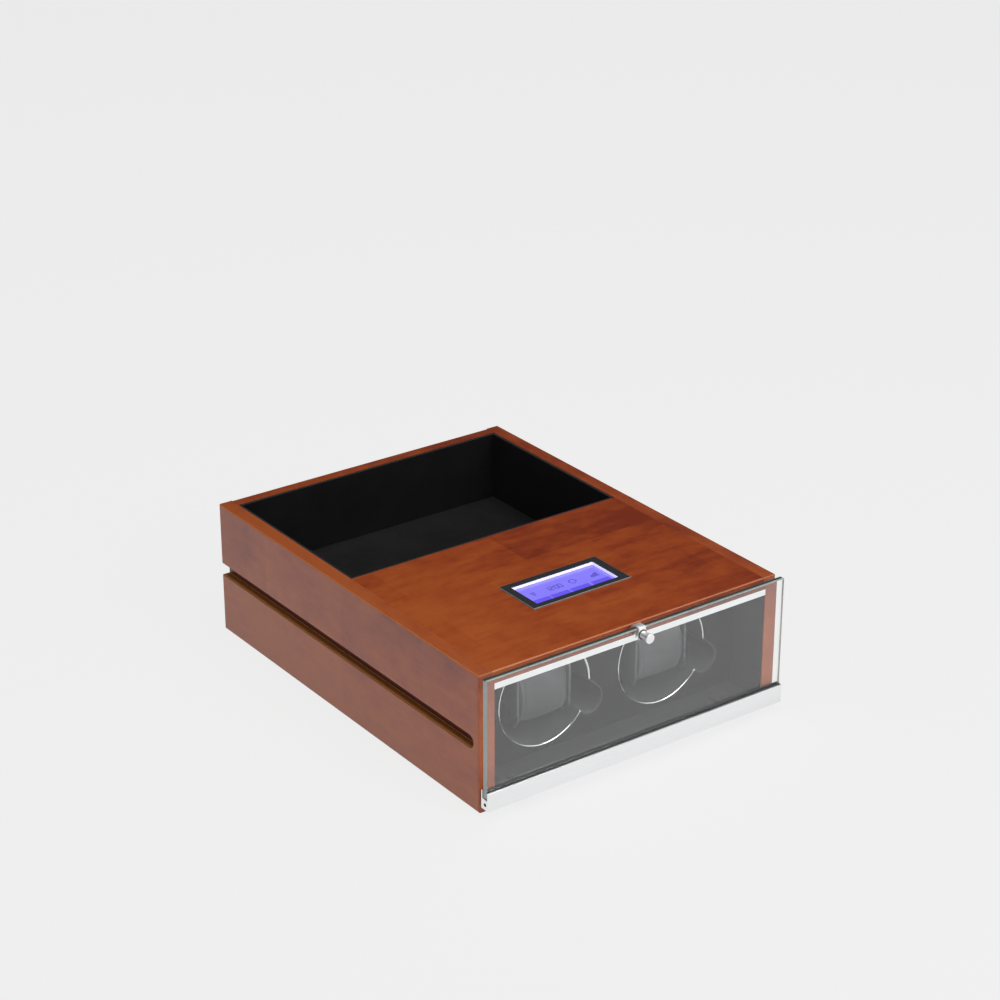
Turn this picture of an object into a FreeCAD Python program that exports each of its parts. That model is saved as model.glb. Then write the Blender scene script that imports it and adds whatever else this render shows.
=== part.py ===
import FreeCAD
import Part
import Sketcher
import math
import os
import re

Vector = FreeCAD.Vector

# Driving sizes of the winder box, in millimetres, with its one angle in degrees
SIZES = {
    # Wooden case
    "case_width": 300.0,
    "case_depth": 388.0,
    "case_height": 121.0,
    "side_thick": 13.0,
    "deck_thick": 9.0,
    "deck_depth": 197.0,
    "back_thick": 11.0,
    "base_thick": 9.0,
    "bulkhead_thick": 8.0,
    "edge_radius": 1.5,
    "groove_height": 12.0,
    "groove_depth": 7.5,
    "groove_level": 59.0,
    "groove_front_gap": 7.0,
    "dowel_radius": 3.0,
    "dowel_grip": 9.0,
    "dowel_inset": 30.0,
    "cable_hole_radius": 10.0,
    # Rear tray
    "tray_level": 54.0,
    "tray_base_thick": 8.0,
    "liner_wall": 2.0,
    "liner_gap": 0.2,
    "liner_drop": 0.3,
    "tray_pad_thick": 1.5,
    # Front compartment
    "fascia_setback": 39.0,
    "fascia_thick": 4.0,
    "lining_thick": 1.0,
    "lining_setback": 1.0,
    "light_height": 5.4,
    "light_depth": 14.0,
    "light_wall": 1.2,
    "light_board_thick": 1.6,
    "diffuser_thick": 2.0,
    # Winder openings and wells
    "rotor_spacing": 120.0,
    "opening_floor_gap": 7.0,
    "opening_top_gap": 8.0,
    "notch_radius": 12.0,
    "notch_reach": 1.5,
    "notch_drop": 18.5,
    "notch_length": 20.0,
    "notch_lean": 45.0,
    "trim_width": 1.6,
    "trim_proud": 1.0,
    "well_wall": 2.0,
    "well_depth": 55.0,
    # Turntables and watch cuffs
    "turntable_play": 4.0,
    "turntable_thick": 3.0,
    "turntable_gap": 3.0,
    "hub_radius": 9.0,
    "hub_gap": 0.5,
    "cradle_wall": 2.0,
    "cradle_depth": 18.0,
    "cuff_side_gap": 17.0,
    "cuff_top_gap": 19.0,
    "cuff_flange": 2.5,
    "cuff_corner": 10.0,
    "cuff_proud": 0.0,
    "cuff_play": 0.3,
    "strap_room": 3.0,
    "core_depth": 24.0,
    "pad_crown": 6.0,
    "pad_draw": 2.0,
    "pad_proud": 3.0,
    # Shafts, plate and belt drive
    "shaft_radius": 4.0,
    "shaft_grip": 4.5,
    "shaft_tail": 2.0,
    "shaft_play": 0.05,
    "shaft_room": 1.5,
    "bush_radius": 7.0,
    "bush_flange": 9.0,
    "bush_flange_thick": 2.0,
    "bush_tail": 2.0,
    "plate_gap": 4.0,
    "plate_thick": 3.0,
    "plate_margin": 18.0,
    "plate_top_gap": 11.0,
    "plate_foot": 12.0,
    "driven_radius": 21.5,
    "pulley_lip": 1.5,
    "pulley_lip_thick": 0.8,
    "pulley_gap": 1.0,
    "belt_width": 4.0,
    "belt_thick": 1.2,
    "belt_play": 0.2,
    "belt_lift": 0.3,
    "drive_radius": 5.0,
    "motor_offset": 14.0,
    "motor_radius": 12.2,
    "motor_length": 40.0,
    "motor_boss_radius": 4.0,
    "motor_shaft_radius": 1.5,
    "bracket_gap": 6.0,
    "bracket_thick": 2.5,
    "bracket_width": 76.0,
    "bracket_height": 73.0,
    "bracket_foot": 18.0,
    "bracket_screw_spread": 50.0,
    "motor_screw_pitch": 8.5,
    # Display in the deck
    "display_length": 99.0,
    "display_depth": 48.0,
    "display_setback": 88.4,
    "window_length": 84.0,
    "window_depth": 36.0,
    "bezel_proud": 0.9,
    "bezel_sleeve": 2.0,
    "frame_wall": 2.0,
    "frame_height": 2.5,
    "panel_thick": 2.0,
    "display_board_thick": 1.6,
    "display_fit": 0.2,
    # Glass door and its hinge
    "door_gap": 5.5,
    "glass_thick": 5.0,
    "channel_depth": 9.5,
    "channel_height": 16.0,
    "channel_level": 7.5,
    "channel_back_gap": 3.5,
    "channel_overhang": 0.5,
    "slot_level": 16.5,
    "gasket_thick": 0.7,
    "gasket_proud": 0.8,
    "hinge_level": 12.0,
    "hinge_setback": 8.5,
    "hinge_spread": 220.0,
    "pin_radius": 1.49,
    "pin_bore_radius": 1.5,
    "pin_play": 0.05,
    "pin_reach": 10.0,
    "eye_radius": 3.0,
    "eye_room": 0.4,
    "hinge_width": 16.0,
    "hinge_side_room": 1.0,
    "hinge_thick": 3.0,
    "hinge_foot": 26.0,
    "hinge_screw_inset": 5.5,
    "hinge_screw_pitch": 11.0,
    "knob_rise": 4.0,
    "knob_radius": 4.1,
    "knob_neck_radius": 3.4,
    "knob_foot_radius": 4.1,
    "knob_foot_length": 0.8,
    "knob_neck_length": 7.2,
    "knob_head_length": 2.0,
    "stud_radius": 2.0,
    "stud_room": 0.6,
    "clip_width": 7.0,
    "clip_thick": 1.3,
    "clip_drop": 8.6,
    "clip_room": 0.1,
    "magnet_radius": 3.5,
    "magnet_gap": 0.2,
    "magnet_depth": 8.0,
    # Power inlet and driver board
    "inlet_side_gap": 37.0,
    "inlet_level": 26.0,
    "inlet_radius": 5.0,
    "inlet_bore_radius": 3.1,
    "inlet_pin_radius": 1.0,
    "inlet_flange_radius": 7.5,
    "inlet_flange_thick": 1.2,
    "inlet_length": 28.0,
    "inlet_fit": 0.1,
    "nut_radius": 8.0,
    "nut_thick": 2.5,
    "board_length": 90.0,
    "board_width": 60.0,
    "board_thick": 1.6,
    "board_setback": 50.0,
    "board_part_height": 16.0,
    "standoff_height": 5.0,
    "standoff_radius": 3.0,
    "standoff_inset": 5.0,
    "lead_radius": 1.2,
    "lead_bend": 8.0,
    "lead_pitch": 7.5,
    "lead_margin": 3.5,
    "lead_spread": 4.5,
    "lead_clearance": 13.5,
    # Screws
    "screw_radius": 1.5,
    "screw_length": 8.0,
    "screw_head_radius": 2.8,
    "screw_head_height": 1.8,
}

# Sizes that follow from the driving ones and a clearance
DERIVED = {
    "opening_radius": "(case_height - deck_thick - base_thick - opening_floor_gap - opening_top_gap) / 2",
    "rotor_level": "base_thick + opening_floor_gap + opening_radius",
    "turntable_radius": "opening_radius - turntable_play",
    "cuff_length": "2 * (opening_radius - cuff_side_gap)",
    "cuff_height": "2 * (opening_radius - cuff_top_gap)",
    "plate_height": "case_height - deck_thick - base_thick - plate_top_gap",
    "knob_level": "case_height - deck_thick + knob_rise",
    "inlet_offset": "case_width / 2 - side_thick - inlet_side_gap",
}

doc = FreeCAD.newDocument("WatchWinderBox")
sheet = doc.addObject("Spreadsheet::Sheet", "dims")
for row, (alias, size) in enumerate(SIZES.items(), 1):
    sheet.set(f"A{row}", alias)
    sheet.set(f"B{row}", str(size))
    sheet.setAlias(f"B{row}", alias)
doc.recompute()

SIDES = (("left", -1), ("right", 1))
TINY = 1e-6

# Stations of the soft pad along its length, as shares of its half length, and the bow left at its ends
PAD_STATIONS = (-1.0, -0.6, 0.0, 0.6, 1.0)
PAD_END_SWELL = 0.25

# Blocks on the driver board: where each starts and ends, as shares of the board's length
BOARD_BLOCKS = {"supply": (0.08, 0.30), "driver": (0.40, 0.58), "plug": (0.70, 0.92)}

PIECES = []


def formula(text):
    """Expression on the sheet for words such as case_width / 2."""
    def full(word):
        name = word.group()
        if name in DERIVED:
            return f"({formula(DERIVED[name])})"
        return "dims." + name if name in SIZES else name
    return re.sub(r"[a-z][a-z_]+", full, text)


def value(text):
    """Number that an expression has now."""
    return float(sheet.evalExpression(formula(text)))


def bind(item, prop, text):
    item.setExpression(prop, formula(text))


def place(item, x, y, z):
    for axis, text in zip("xyz", (x, y, z)):
        bind(item, f"Placement.Base.{axis}", text)


def piece(item, label):
    """Give a finished sub-part its name."""
    item.Label = label
    PIECES.append(item)
    return item


def box(name, x, y, z):
    """Block between a low and a high expression along each axis."""
    block = doc.addObject("Part::Box", name)
    for prop, (low, high) in zip(("Length", "Width", "Height"), (x, y, z)):
        bind(block, prop, f"({high}) - ({low})")
    place(block, x[0], y[0], z[0])
    return block


TURNS = {
    "x": FreeCAD.Rotation(Vector(0, 1, 0), 90),
    "y": FreeCAD.Rotation(Vector(1, 0, 0), -90),
    "z": FreeCAD.Rotation(),
    "back": FreeCAD.Rotation(Vector(0, 1, 0), 180),
}


def rod(name, axis, radius, span, centre):
    """Round bar along an axis, with the two other coordinates of its centre line."""
    bar = doc.addObject("Part::Cylinder", name)
    start, end = span
    bind(bar, "Radius", radius)
    bind(bar, "Height", f"({end}) - ({start})")
    bar.Placement = FreeCAD.Placement(Vector(), TURNS[axis])
    spots = list(centre)
    spots.insert("xyz".index(axis), start)
    place(bar, *spots)
    return bar


def fuse(name, *solids):
    joined = doc.addObject("Part::MultiFuse", name)
    joined.Shapes = list(solids)
    return joined


def cut(name, base, *tools):
    result = doc.addObject("Part::Cut", name)
    result.Base = base
    result.Tool = tools[0] if len(tools) == 1 else fuse(name + "_tools", *tools)
    return result


def group(name, *solids):
    """Like pieces that share one file."""
    together = doc.addObject("Part::Compound", name)
    together.Links = list(solids)
    return together


def rounded(name, base, radius, chosen):
    """Fillet on the edges of a solid whose middle point passes a test."""
    doc.recompute()
    result = doc.addObject("Part::Fillet", name)
    result.Base = base
    size = value(radius)
    picks = []
    for number, edge in enumerate(base.Shape.Edges, 1):
        if chosen(edge):
            picks.append((number, size, size))
    if not picks:
        raise RuntimeError(name + " found no edge to round")
    result.Edges = picks
    return result


def outline(body, plane, corners):
    """Closed sketch with its corners held at pairs of expressions."""
    sketch = body.newObject("Sketcher::SketchObject", body.Name + "_outline")
    planes = {feature.Role: feature for feature in body.Origin.OriginFeatures}
    sketch.AttachmentSupport = [(planes[plane], "")]
    sketch.MapMode = "FlatFace"
    points = [Vector(value(across), value(along), 0) for across, along in corners]
    for start, end in zip(points, points[1:] + points[:1]):
        sketch.addGeometry(Part.LineSegment(start, end), False)
    count = len(points)
    for line in range(count):
        sketch.addConstraint(Sketcher.Constraint("Coincident", line, 2, (line + 1) % count, 1))
    for line, pair in enumerate(corners):
        for kind, text in zip(("DistanceX", "DistanceY"), pair):
            hold = Sketcher.Constraint(kind, -1, 1, line, 1, value(text))
            number = sketch.addConstraint(hold)
            bind(sketch, f"Constraints[{number}]", text)
    return sketch


def pad(name, corners, span):
    """Bar with a section in Y and Z, padded along X."""
    body = doc.addObject("PartDesign::Body", name)
    sketch = outline(body, "YZ_Plane", corners)
    raised = body.newObject("PartDesign::Pad", name + "_pad")
    raised.Profile = sketch
    bind(raised, "Length", f"({span[1]}) - ({span[0]})")
    place(body, span[0], "0", "0")
    return body


def turned(name, corners, x, z):
    """Round piece turned about a line along Y; corners are radius and Y."""
    body = doc.addObject("PartDesign::Body", name)
    sketch = outline(body, "XY_Plane", corners)
    turn = body.newObject("PartDesign::Revolution", name + "_turn")
    turn.Profile = sketch
    turn.ReferenceAxis = (sketch, ["V_Axis"])
    turn.Angle = 360
    place(body, x, "0", z)
    return body


def screw(name, axis, head, shank_way, centre):
    """Pan screw with its head's seat at a place on the axis and its shank along shank_way."""
    head_end = f"{head} - ({shank_way}) * screw_head_height"
    shank_end = f"{head} + ({shank_way}) * screw_length"
    spans = {1: ((head_end, head), (head, shank_end)), -1: ((head, head_end), (shank_end, head))}
    head_span, shank_span = spans[shank_way]
    cap = rod(name + "_head", axis, "screw_head_radius", head_span, centre)
    shank = rod(name + "_shank", axis, "screw_radius", shank_span, centre)
    return fuse(name, cap, shank), rod(name + "_hole", axis, "screw_radius", shank_span, centre)


# Planes that pieces share, as expressions measured from the middle of the case's base
HALF = "(case_width / 2)"
INNER = "(case_width / 2 - side_thick)"
FRONT = "(0 - case_depth / 2)"
BACK = "(case_depth / 2)"
TOP = "case_height"
DECK_UNDER = "(case_height - deck_thick)"
DECK_END = f"({FRONT} + deck_depth)"
BACK_INNER = f"({BACK} - back_thick)"
FASCIA = f"({FRONT} + fascia_setback)"
FASCIA_BACK = f"({FASCIA} + fascia_thick)"
WELL_BACK = f"({FASCIA_BACK} + well_depth)"
WELL_FLOOR = f"({WELL_BACK} - well_wall)"
TURN_BACK = f"({WELL_FLOOR} - turntable_gap)"
TURN_FACE = f"({TURN_BACK} - turntable_thick)"
PLATE = f"({WELL_BACK} + plate_gap)"
PLATE_BACK = f"({PLATE} + plate_thick)"
PULLEY = f"({PLATE_BACK} + bush_tail + pulley_gap)"
LIP = "pulley_lip_thick"
BELT_ROOM = "(belt_width + 2 * belt_play)"
PULLEY_BACK = f"({PULLEY} + 2 * {LIP} + {BELT_ROOM})"
BRACKET = f"({PULLEY_BACK} + bracket_gap)"
BRACKET_BACK = f"({BRACKET} + bracket_thick)"


def both(text):
    """Span that is even about the middle plane."""
    return (f"0 - ({text})", text)


def rotor_x(way):
    return f"({way} * rotor_spacing / 2)"


def motor_x(way):
    return f"({way} * motor_offset)"


# Dowels across the joints of the deck, base and back with the sides
def dowels():
    spots = []
    for line, level, reach in (
        ("deck", f"{DECK_UNDER} + deck_thick / 2", f"{FRONT} + deck_depth"),
        ("base", "base_thick / 2", BACK_INNER),
    ):
        spots.append((line + "_front", f"{FRONT} + dowel_inset", level))
        spots.append((line + "_rear", f"{reach} - dowel_inset", level))
    middle = f"{BACK_INNER} + back_thick / 2"
    spots.append(("back_low", middle, "dowel_inset"))
    spots.append(("back_high", middle, f"{TOP} - dowel_inset"))
    pins = []
    for side, way in SIDES:
        span = [f"{way} * {INNER} - dowel_grip", f"{way} * {INNER} + dowel_grip"]
        for spot, y, z in spots:
            pins.append(rod(f"dowel_{side}_{spot}", "x", "dowel_radius", span, (y, z)))
    return pins


dowel_pins = dowels()
dowel_group = piece(group("case_dowels", *dowel_pins), "case_dowels")


# Side panels with rounded outer edges and a runner groove that stops short of the front
def side_panel(side, way):
    span = (INNER, HALF) if way > 0 else (f"0 - {HALF}", f"0 - {INNER}")
    board = box(f"{side}_board", span, (FRONT, BACK), ("0", TOP))
    outer = way * value(HALF)
    soft = rounded(f"{side}_board_soft", board, "edge_radius",
                   lambda edge: abs(edge.CenterOfMass.x - outer) < TINY)
    depth_span = ["case_width / 2 - groove_depth", "case_width / 2 + groove_depth"]
    if way < 0:
        depth_span = [f"0 - ({depth_span[1]})", f"0 - ({depth_span[0]})"]
    start = f"{FRONT} + groove_front_gap + groove_height / 2"
    low = "groove_level - groove_height / 2"
    run = box(f"{side}_groove_run", depth_span, (start, f"{BACK} + groove_depth"),
              (low, "groove_level + groove_height / 2"))
    end = rod(f"{side}_groove_end", "x", "groove_height / 2", depth_span, (start, "groove_level"))
    piece(cut(f"{side}_panel", soft, run, end, dowel_group), f"{side}_side_panel")


for side, way in SIDES:
    side_panel(side, way)

# Back panel with the hole of the power inlet
back_board = box("back_board", both(INNER), (BACK_INNER, BACK), ("0", TOP))
back_soft = rounded("back_soft", back_board, "edge_radius",
                    lambda edge: abs(edge.CenterOfMass.y - value(BACK)) < TINY
                    and abs(edge.CenterOfMass.x) < TINY)
inlet_hole = rod("inlet_hole", "y", "inlet_radius + inlet_fit", (BACK_INNER, BACK),
                 ("inlet_offset", "inlet_level"))
piece(cut("back", back_soft, inlet_hole, dowel_group), "back_panel")

# Bulkhead and tray base board between the sides
bulkhead_board = box("bulkhead_board", both(INNER), (f"{DECK_END} - bulkhead_thick", DECK_END),
                     ("base_thick", DECK_UNDER))
cable_hole = rod("cable_hole", "y", "cable_hole_radius", (f"{DECK_END} - bulkhead_thick", DECK_END),
                 ("inlet_offset", "inlet_level + cable_hole_radius"))
piece(cut("bulkhead", bulkhead_board, cable_hole), "bulkhead")
piece(box("tray_base", both(INNER), (DECK_END, BACK_INNER),
          ("tray_level - tray_base_thick", "tray_level")), "tray_base_board")

# Tray liner, open at the top, with its floor pad
LINER_HALF = f"({INNER} - liner_gap)"
LINER_FRONT = f"({DECK_END} + liner_gap)"
LINER_BACK = f"({BACK_INNER} - liner_gap)"
LINER_FLOOR = "(tray_level + liner_wall)"
liner_block = box("liner_block", both(LINER_HALF), (LINER_FRONT, LINER_BACK),
                  ("tray_level", f"{TOP} - liner_drop"))
liner_room = box("liner_room", both(f"{LINER_HALF} - liner_wall"),
                 (f"{LINER_FRONT} + liner_wall", f"{LINER_BACK} - liner_wall"),
                 (LINER_FLOOR, f"{TOP} + liner_wall"))
piece(cut("liner", liner_block, liner_room), "tray_liner")
piece(box("tray_pad", both(f"{LINER_HALF} - liner_wall - liner_gap"),
          (f"{LINER_FRONT} + liner_wall + liner_gap", f"{LINER_BACK} - liner_wall - liner_gap"),
          (LINER_FLOOR, f"{LINER_FLOOR} + tray_pad_thick")), "tray_floor_pad")

# Fascia, trim rings and wells share one opening outline: a round hole with a slanted finger notch


def opening(name, way, grow, span):
    """Solid of the opening's outline, grown all round, between two depths."""
    x = rotor_x(way)
    tip_x = f"{x} + opening_radius + notch_reach"
    tip_z = "rotor_level - notch_drop"
    reach = f"(notch_radius + {grow})"
    hole = rod(name + "_round", "y", f"opening_radius + {grow}", span, (x, "rotor_level"))
    tip = rod(name + "_tip", "y", reach, span, (tip_x, tip_z))
    slot = doc.addObject("Part::Box", name + "_slot")
    bind(slot, "Length", "notch_length")
    bind(slot, "Width", f"({span[1]}) - ({span[0]})")
    bind(slot, "Height", f"2 * {reach}")
    slot.Placement = FreeCAD.Placement(Vector(), TURNS["back"])
    bind(slot, "Placement.Rotation.Angle", "180 + notch_lean")
    place(slot, f"{tip_x} + {reach} * sin(notch_lean)", span[0], f"{tip_z} + {reach} * cos(notch_lean)")
    return fuse(name, hole, tip, slot)


fascia_board = box("fascia_board", both(INNER), (FASCIA, FASCIA_BACK), ("base_thick", DECK_UNDER))
fascia_span = (FASCIA, FASCIA_BACK)
fascia_holes = [opening(f"{side}_fascia_hole", way, "trim_width", fascia_span) for side, way in SIDES]
piece(cut("fascia", fascia_board, *fascia_holes), "fascia")

for side, way in SIDES:
    trim_span = (f"{FASCIA} - trim_proud", FASCIA_BACK)
    trim_outer = opening(f"{side}_trim_outer", way, "trim_width", trim_span)
    trim_inner = opening(f"{side}_trim_inner", way, "0", trim_span)
    piece(cut(f"{side}_trim", trim_outer, trim_inner), f"{side}_trim_ring")
    shell = opening(f"{side}_well_shell", way, "well_wall", (FASCIA_BACK, WELL_BACK))
    room = opening(f"{side}_well_room", way, "0", (FASCIA_BACK, WELL_FLOOR))
    hole = rod(f"{side}_well_hole", "y", "shaft_radius + shaft_room", (WELL_FLOOR, WELL_BACK),
               (rotor_x(way), "rotor_level"))
    piece(cut(f"{side}_well_cup", shell, room, hole), f"{side}_well")


# Turntable: disc, hub with a blind bore, and a cradle frame that holds the cuff's back
CRADLE_HALF_X = "(cuff_length / 2 + cuff_play)"
CRADLE_HALF_Z = "(cuff_height / 2 + cuff_play)"
HUB_END = f"({WELL_FLOOR} - hub_gap)"
SHAFT_START = f"({HUB_END} - shaft_grip)"


def turntable(side, way):
    x = rotor_x(way)
    disc = turned(f"{side}_disc", [
        ("0", TURN_FACE), ("turntable_radius", TURN_FACE), ("turntable_radius", TURN_BACK),
        ("hub_radius", TURN_BACK), ("hub_radius", HUB_END), ("shaft_radius", HUB_END),
        ("shaft_radius", SHAFT_START), ("0", SHAFT_START)], x, "rotor_level")
    span = (f"{TURN_FACE} - cradle_depth", TURN_FACE)

    def frame(name, grow):
        half_x = f"({CRADLE_HALF_X} + {grow})"
        half_z = f"({CRADLE_HALF_Z} + {grow})"
        return box(name, (f"{x} - {half_x}", f"{x} + {half_x}"), span,
                   (f"rotor_level - {half_z}", f"rotor_level + {half_z}"))

    walls = cut(f"{side}_cradle", frame(f"{side}_cradle_out", "cradle_wall"),
                frame(f"{side}_cradle_in", "0"))
    piece(fuse(f"{side}_turn", disc, walls), f"{side}_turntable")


# Watch cuff: two end flanges on a core, and a crowned soft pad in front of the core
CUFF_BACK = f"({TURN_FACE} - cuff_play)"
CUFF_FRONT = f"({FASCIA} - cuff_proud)"
CORE_BACK = f"({CUFF_BACK} - strap_room)"
CORE_FACE = f"({CORE_BACK} - core_depth)"
PAD_FRONT = f"({FASCIA} - pad_proud)"
CORE_HALF_X = "(cuff_length / 2 - cuff_flange)"
CORE_HALF_Z = "(cuff_height / 2 - strap_room)"


def cuff_core(side, way):
    x = rotor_x(way)
    solids = []
    for end, sign in (("a", -1), ("b", 1)):
        far = f"{x} + {sign} * cuff_length / 2"
        near = f"{x} + {sign} * {CORE_HALF_X}"
        span = (far, near) if sign < 0 else (near, far)
        plate = box(f"{side}_flange_{end}", span, (CUFF_FRONT, CUFF_BACK),
                    ("rotor_level - cuff_height / 2", "rotor_level + cuff_height / 2"))
        solids.append(rounded(f"{side}_flange_{end}_soft", plate, "cuff_corner",
                              lambda edge: edge.BoundBox.XLength > TINY))
    solids.append(box(f"{side}_core_block", (f"{x} - {CORE_HALF_X}", f"{x} + {CORE_HALF_X}"),
                      (CORE_FACE, CORE_BACK),
                      (f"rotor_level - {CORE_HALF_Z}", f"rotor_level + {CORE_HALF_Z}")))
    piece(fuse(f"{side}_core", *solids), f"{side}_cuff_core")


def pad_section(x, swell):
    """Wire of the pad across X: flat back, bowed top, bottom and front."""
    back = value(f"{CORE_FACE} - cuff_play")
    high = value(CORE_HALF_Z)
    draw = value("pad_draw") * swell
    crown = value("pad_crown")
    front = value(PAD_FRONT) + value("pad_draw") * (1 - swell)
    shoulder = front + crown
    waist = (back + shoulder) / 2
    level = value("rotor_level")

    def point(y, z):
        return Vector(x, y, level + z)

    corners = [point(back, -high), point(back, high), point(shoulder, high), point(shoulder, -high)]
    edges = [
        Part.LineSegment(corners[0], corners[1]),
        Part.Arc(corners[1], point(waist, high + draw), corners[2]),
        Part.Arc(corners[2], point(front, 0), corners[3]),
        Part.Arc(corners[3], point(waist, -high - draw), corners[0]),
    ]
    return Part.Wire([edge.toShape() for edge in edges])


def cuff_pad(side, way):
    half = value(f"{CORE_HALF_X} - cuff_play")
    middle = value(rotor_x(way))
    wires = []
    for share in PAD_STATIONS:
        bow = math.cos(share * math.pi / 2)
        swell = PAD_END_SWELL + (1 - PAD_END_SWELL) * bow
        wires.append(pad_section(middle + share * half, swell))
    soft = doc.addObject("Part::Feature", f"{side}_pad")
    soft.Shape = Part.makeLoft(wires, True)
    piece(soft, f"{side}_cuff_pad")


# Rotor shaft, its flanged bush in the drive plate and the driven pulley
SHAFT_END = f"({PULLEY_BACK} + shaft_tail)"


def pulley(name, seat, bore, x, z):
    lip = f"{seat} + pulley_lip"
    low = f"{PULLEY} + {LIP}"
    high = f"{PULLEY_BACK} - {LIP}"
    return turned(name, [
        (bore, PULLEY), (lip, PULLEY), (lip, low), (seat, low), (seat, high), (lip, high),
        (lip, PULLEY_BACK), (bore, PULLEY_BACK)], x, z)


def drive_train(side, way):
    x = rotor_x(way)
    piece(rod(f"{side}_shaft", "y", "shaft_radius", (SHAFT_START, SHAFT_END), (x, "rotor_level")),
          f"{side}_rotor_shaft")
    bore = "shaft_radius + shaft_play"
    bush_face = f"{PLATE} - bush_flange_thick"
    bush_end = f"{PLATE_BACK} + bush_tail"
    piece(turned(f"{side}_bush", [
        (bore, bush_face), ("bush_flange", bush_face), ("bush_flange", PLATE), ("bush_radius", PLATE),
        ("bush_radius", bush_end), (bore, bush_end)], x, "rotor_level"), f"{side}_shaft_bush")
    piece(pulley(f"{side}_driven", "driven_radius", "shaft_radius", x, "rotor_level"),
          f"{side}_driven_pulley")
    spindle = rod(f"{side}_spindle", "y", "motor_shaft_radius", (PULLEY, BRACKET_BACK),
                  (motor_x(way), "rotor_level"))
    wheel = pulley(f"{side}_drive", "drive_radius", "motor_shaft_radius", motor_x(way), "rotor_level")
    piece(fuse(f"{side}_drive_wheel", wheel, spindle), f"{side}_motor_pulley")


def belt(side, way):
    """Flat belt round both pulleys: tangent lines joined by arcs, lifted clear of the seats."""
    near = value("drive_radius + belt_lift")
    far = value("driven_radius + belt_lift")
    start = Vector(value(motor_x(way)), value(f"{PULLEY} + {LIP} + belt_play"), value("rotor_level"))
    reach = value(rotor_x(way)) - value(motor_x(way))
    lean = math.asin((far - near) / abs(reach))

    def loop(extra):
        def spot(offset, radius, angle):
            return start + Vector(offset + way * radius * math.cos(angle), 0, radius * math.sin(angle))

        turn = math.pi / 2 + lean
        small = near + extra
        large = far + extra
        edges = [
            Part.LineSegment(spot(0, small, turn), spot(reach, large, turn)),
            Part.Arc(spot(reach, large, turn), spot(reach, large, 0), spot(reach, large, -turn)),
            Part.LineSegment(spot(reach, large, -turn), spot(0, small, -turn)),
            Part.Arc(spot(0, small, -turn), spot(0, small, math.pi), spot(0, small, turn)),
        ]
        wire = Part.Wire([edge.toShape() for edge in edges])
        return Part.Face(wire).extrude(Vector(0, value("belt_width"), 0))

    band = doc.addObject("Part::Feature", f"{side}_belt")
    band.Shape = loop(value("belt_thick")).cut(loop(0))
    piece(band, f"{side}_drive_belt")


for side, way in SIDES:
    turntable(side, way)
    cuff_core(side, way)
    cuff_pad(side, way)
    drive_train(side, way)
    belt(side, way)

# Drive plate with a foot, carrying both bushes
plate_half = "(rotor_spacing / 2 + bush_flange + plate_margin)"
plate_wall = box("plate_wall", both(plate_half), (PLATE, PLATE_BACK),
                 ("base_thick", "base_thick + plate_height"))
plate_sole = box("plate_sole", both(plate_half), (PLATE_BACK, f"{PLATE_BACK} + plate_foot"),
                 ("base_thick", "base_thick + plate_thick"))
plate_holes = [rod(f"{side}_plate_hole", "y", "bush_radius", (PLATE, PLATE_BACK),
                   (rotor_x(way), "rotor_level")) for side, way in SIDES]

# Screws of the two sheet-metal feet, down into the base
foot_screws = []
foot_holes = []
for side, way in SIDES:
    for line, x, y, seat in (
        ("plate", f"{way} * rotor_spacing / 2", f"{PLATE_BACK} + plate_foot / 2",
         "base_thick + plate_thick"),
        ("bracket", f"{way} * bracket_screw_spread / 2", f"{BRACKET_BACK} + bracket_foot / 2",
         "base_thick + bracket_thick"),
    ):
        body, hole = screw(f"{side}_{line}_screw", "z", seat, -1, (x, y))
        foot_screws.append(body)
        foot_holes.append(hole)
foot_hole_group = group("foot_hole_group", *foot_holes)
piece(group("foot_screw_group", *foot_screws), "foot_screws")
plate_solid = fuse("plate_solid", plate_wall, plate_sole)
piece(cut("plate", plate_solid, *plate_holes, foot_hole_group), "drive_plate")

# Motor bracket, gear motors and their screws
bracket_wall = box("bracket_wall", both("bracket_width / 2"), (BRACKET, BRACKET_BACK),
                   ("base_thick", "base_thick + bracket_height"))
bracket_sole = box("bracket_sole", both("bracket_width / 2"),
                   (BRACKET_BACK, f"{BRACKET_BACK} + bracket_foot"),
                   ("base_thick", "base_thick + bracket_thick"))
bracket_solid = fuse("bracket_solid", bracket_wall, bracket_sole)
motor_screws = []
motor_holes = []
boss_holes = []
for side, way in SIDES:
    for spot, sign in (("low", -1), ("high", 1)):
        centre = (motor_x(way), f"rotor_level + {sign} * motor_screw_pitch")
        body, hole = screw(f"{side}_motor_screw_{spot}", "y", BRACKET, 1, centre)
        motor_screws.append(body)
        motor_holes.append(hole)
    boss_holes.append(rod(f"{side}_boss_hole", "y", "motor_boss_radius", (BRACKET, BRACKET_BACK),
                          (motor_x(way), "rotor_level")))
motor_hole_group = group("motor_hole_group", *motor_holes)
piece(group("motor_screw_group", *motor_screws), "motor_screws")
piece(cut("bracket", bracket_solid, *boss_holes, motor_hole_group, foot_hole_group), "motor_bracket")
for side, way in SIDES:
    bore = "motor_shaft_radius + shaft_play"
    motor_end = f"{BRACKET_BACK} + motor_length"
    can = turned(f"{side}_can", [
        (bore, BRACKET), ("motor_boss_radius", BRACKET), ("motor_boss_radius", BRACKET_BACK),
        ("motor_radius", BRACKET_BACK), ("motor_radius", motor_end), ("0", motor_end),
        ("0", f"{BRACKET_BACK} + shaft_play"), (bore, f"{BRACKET_BACK} + shaft_play")],
        motor_x(way), "rotor_level")
    piece(cut(f"{side}_motor_solid", can, motor_hole_group), f"{side}_gear_motor")


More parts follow.
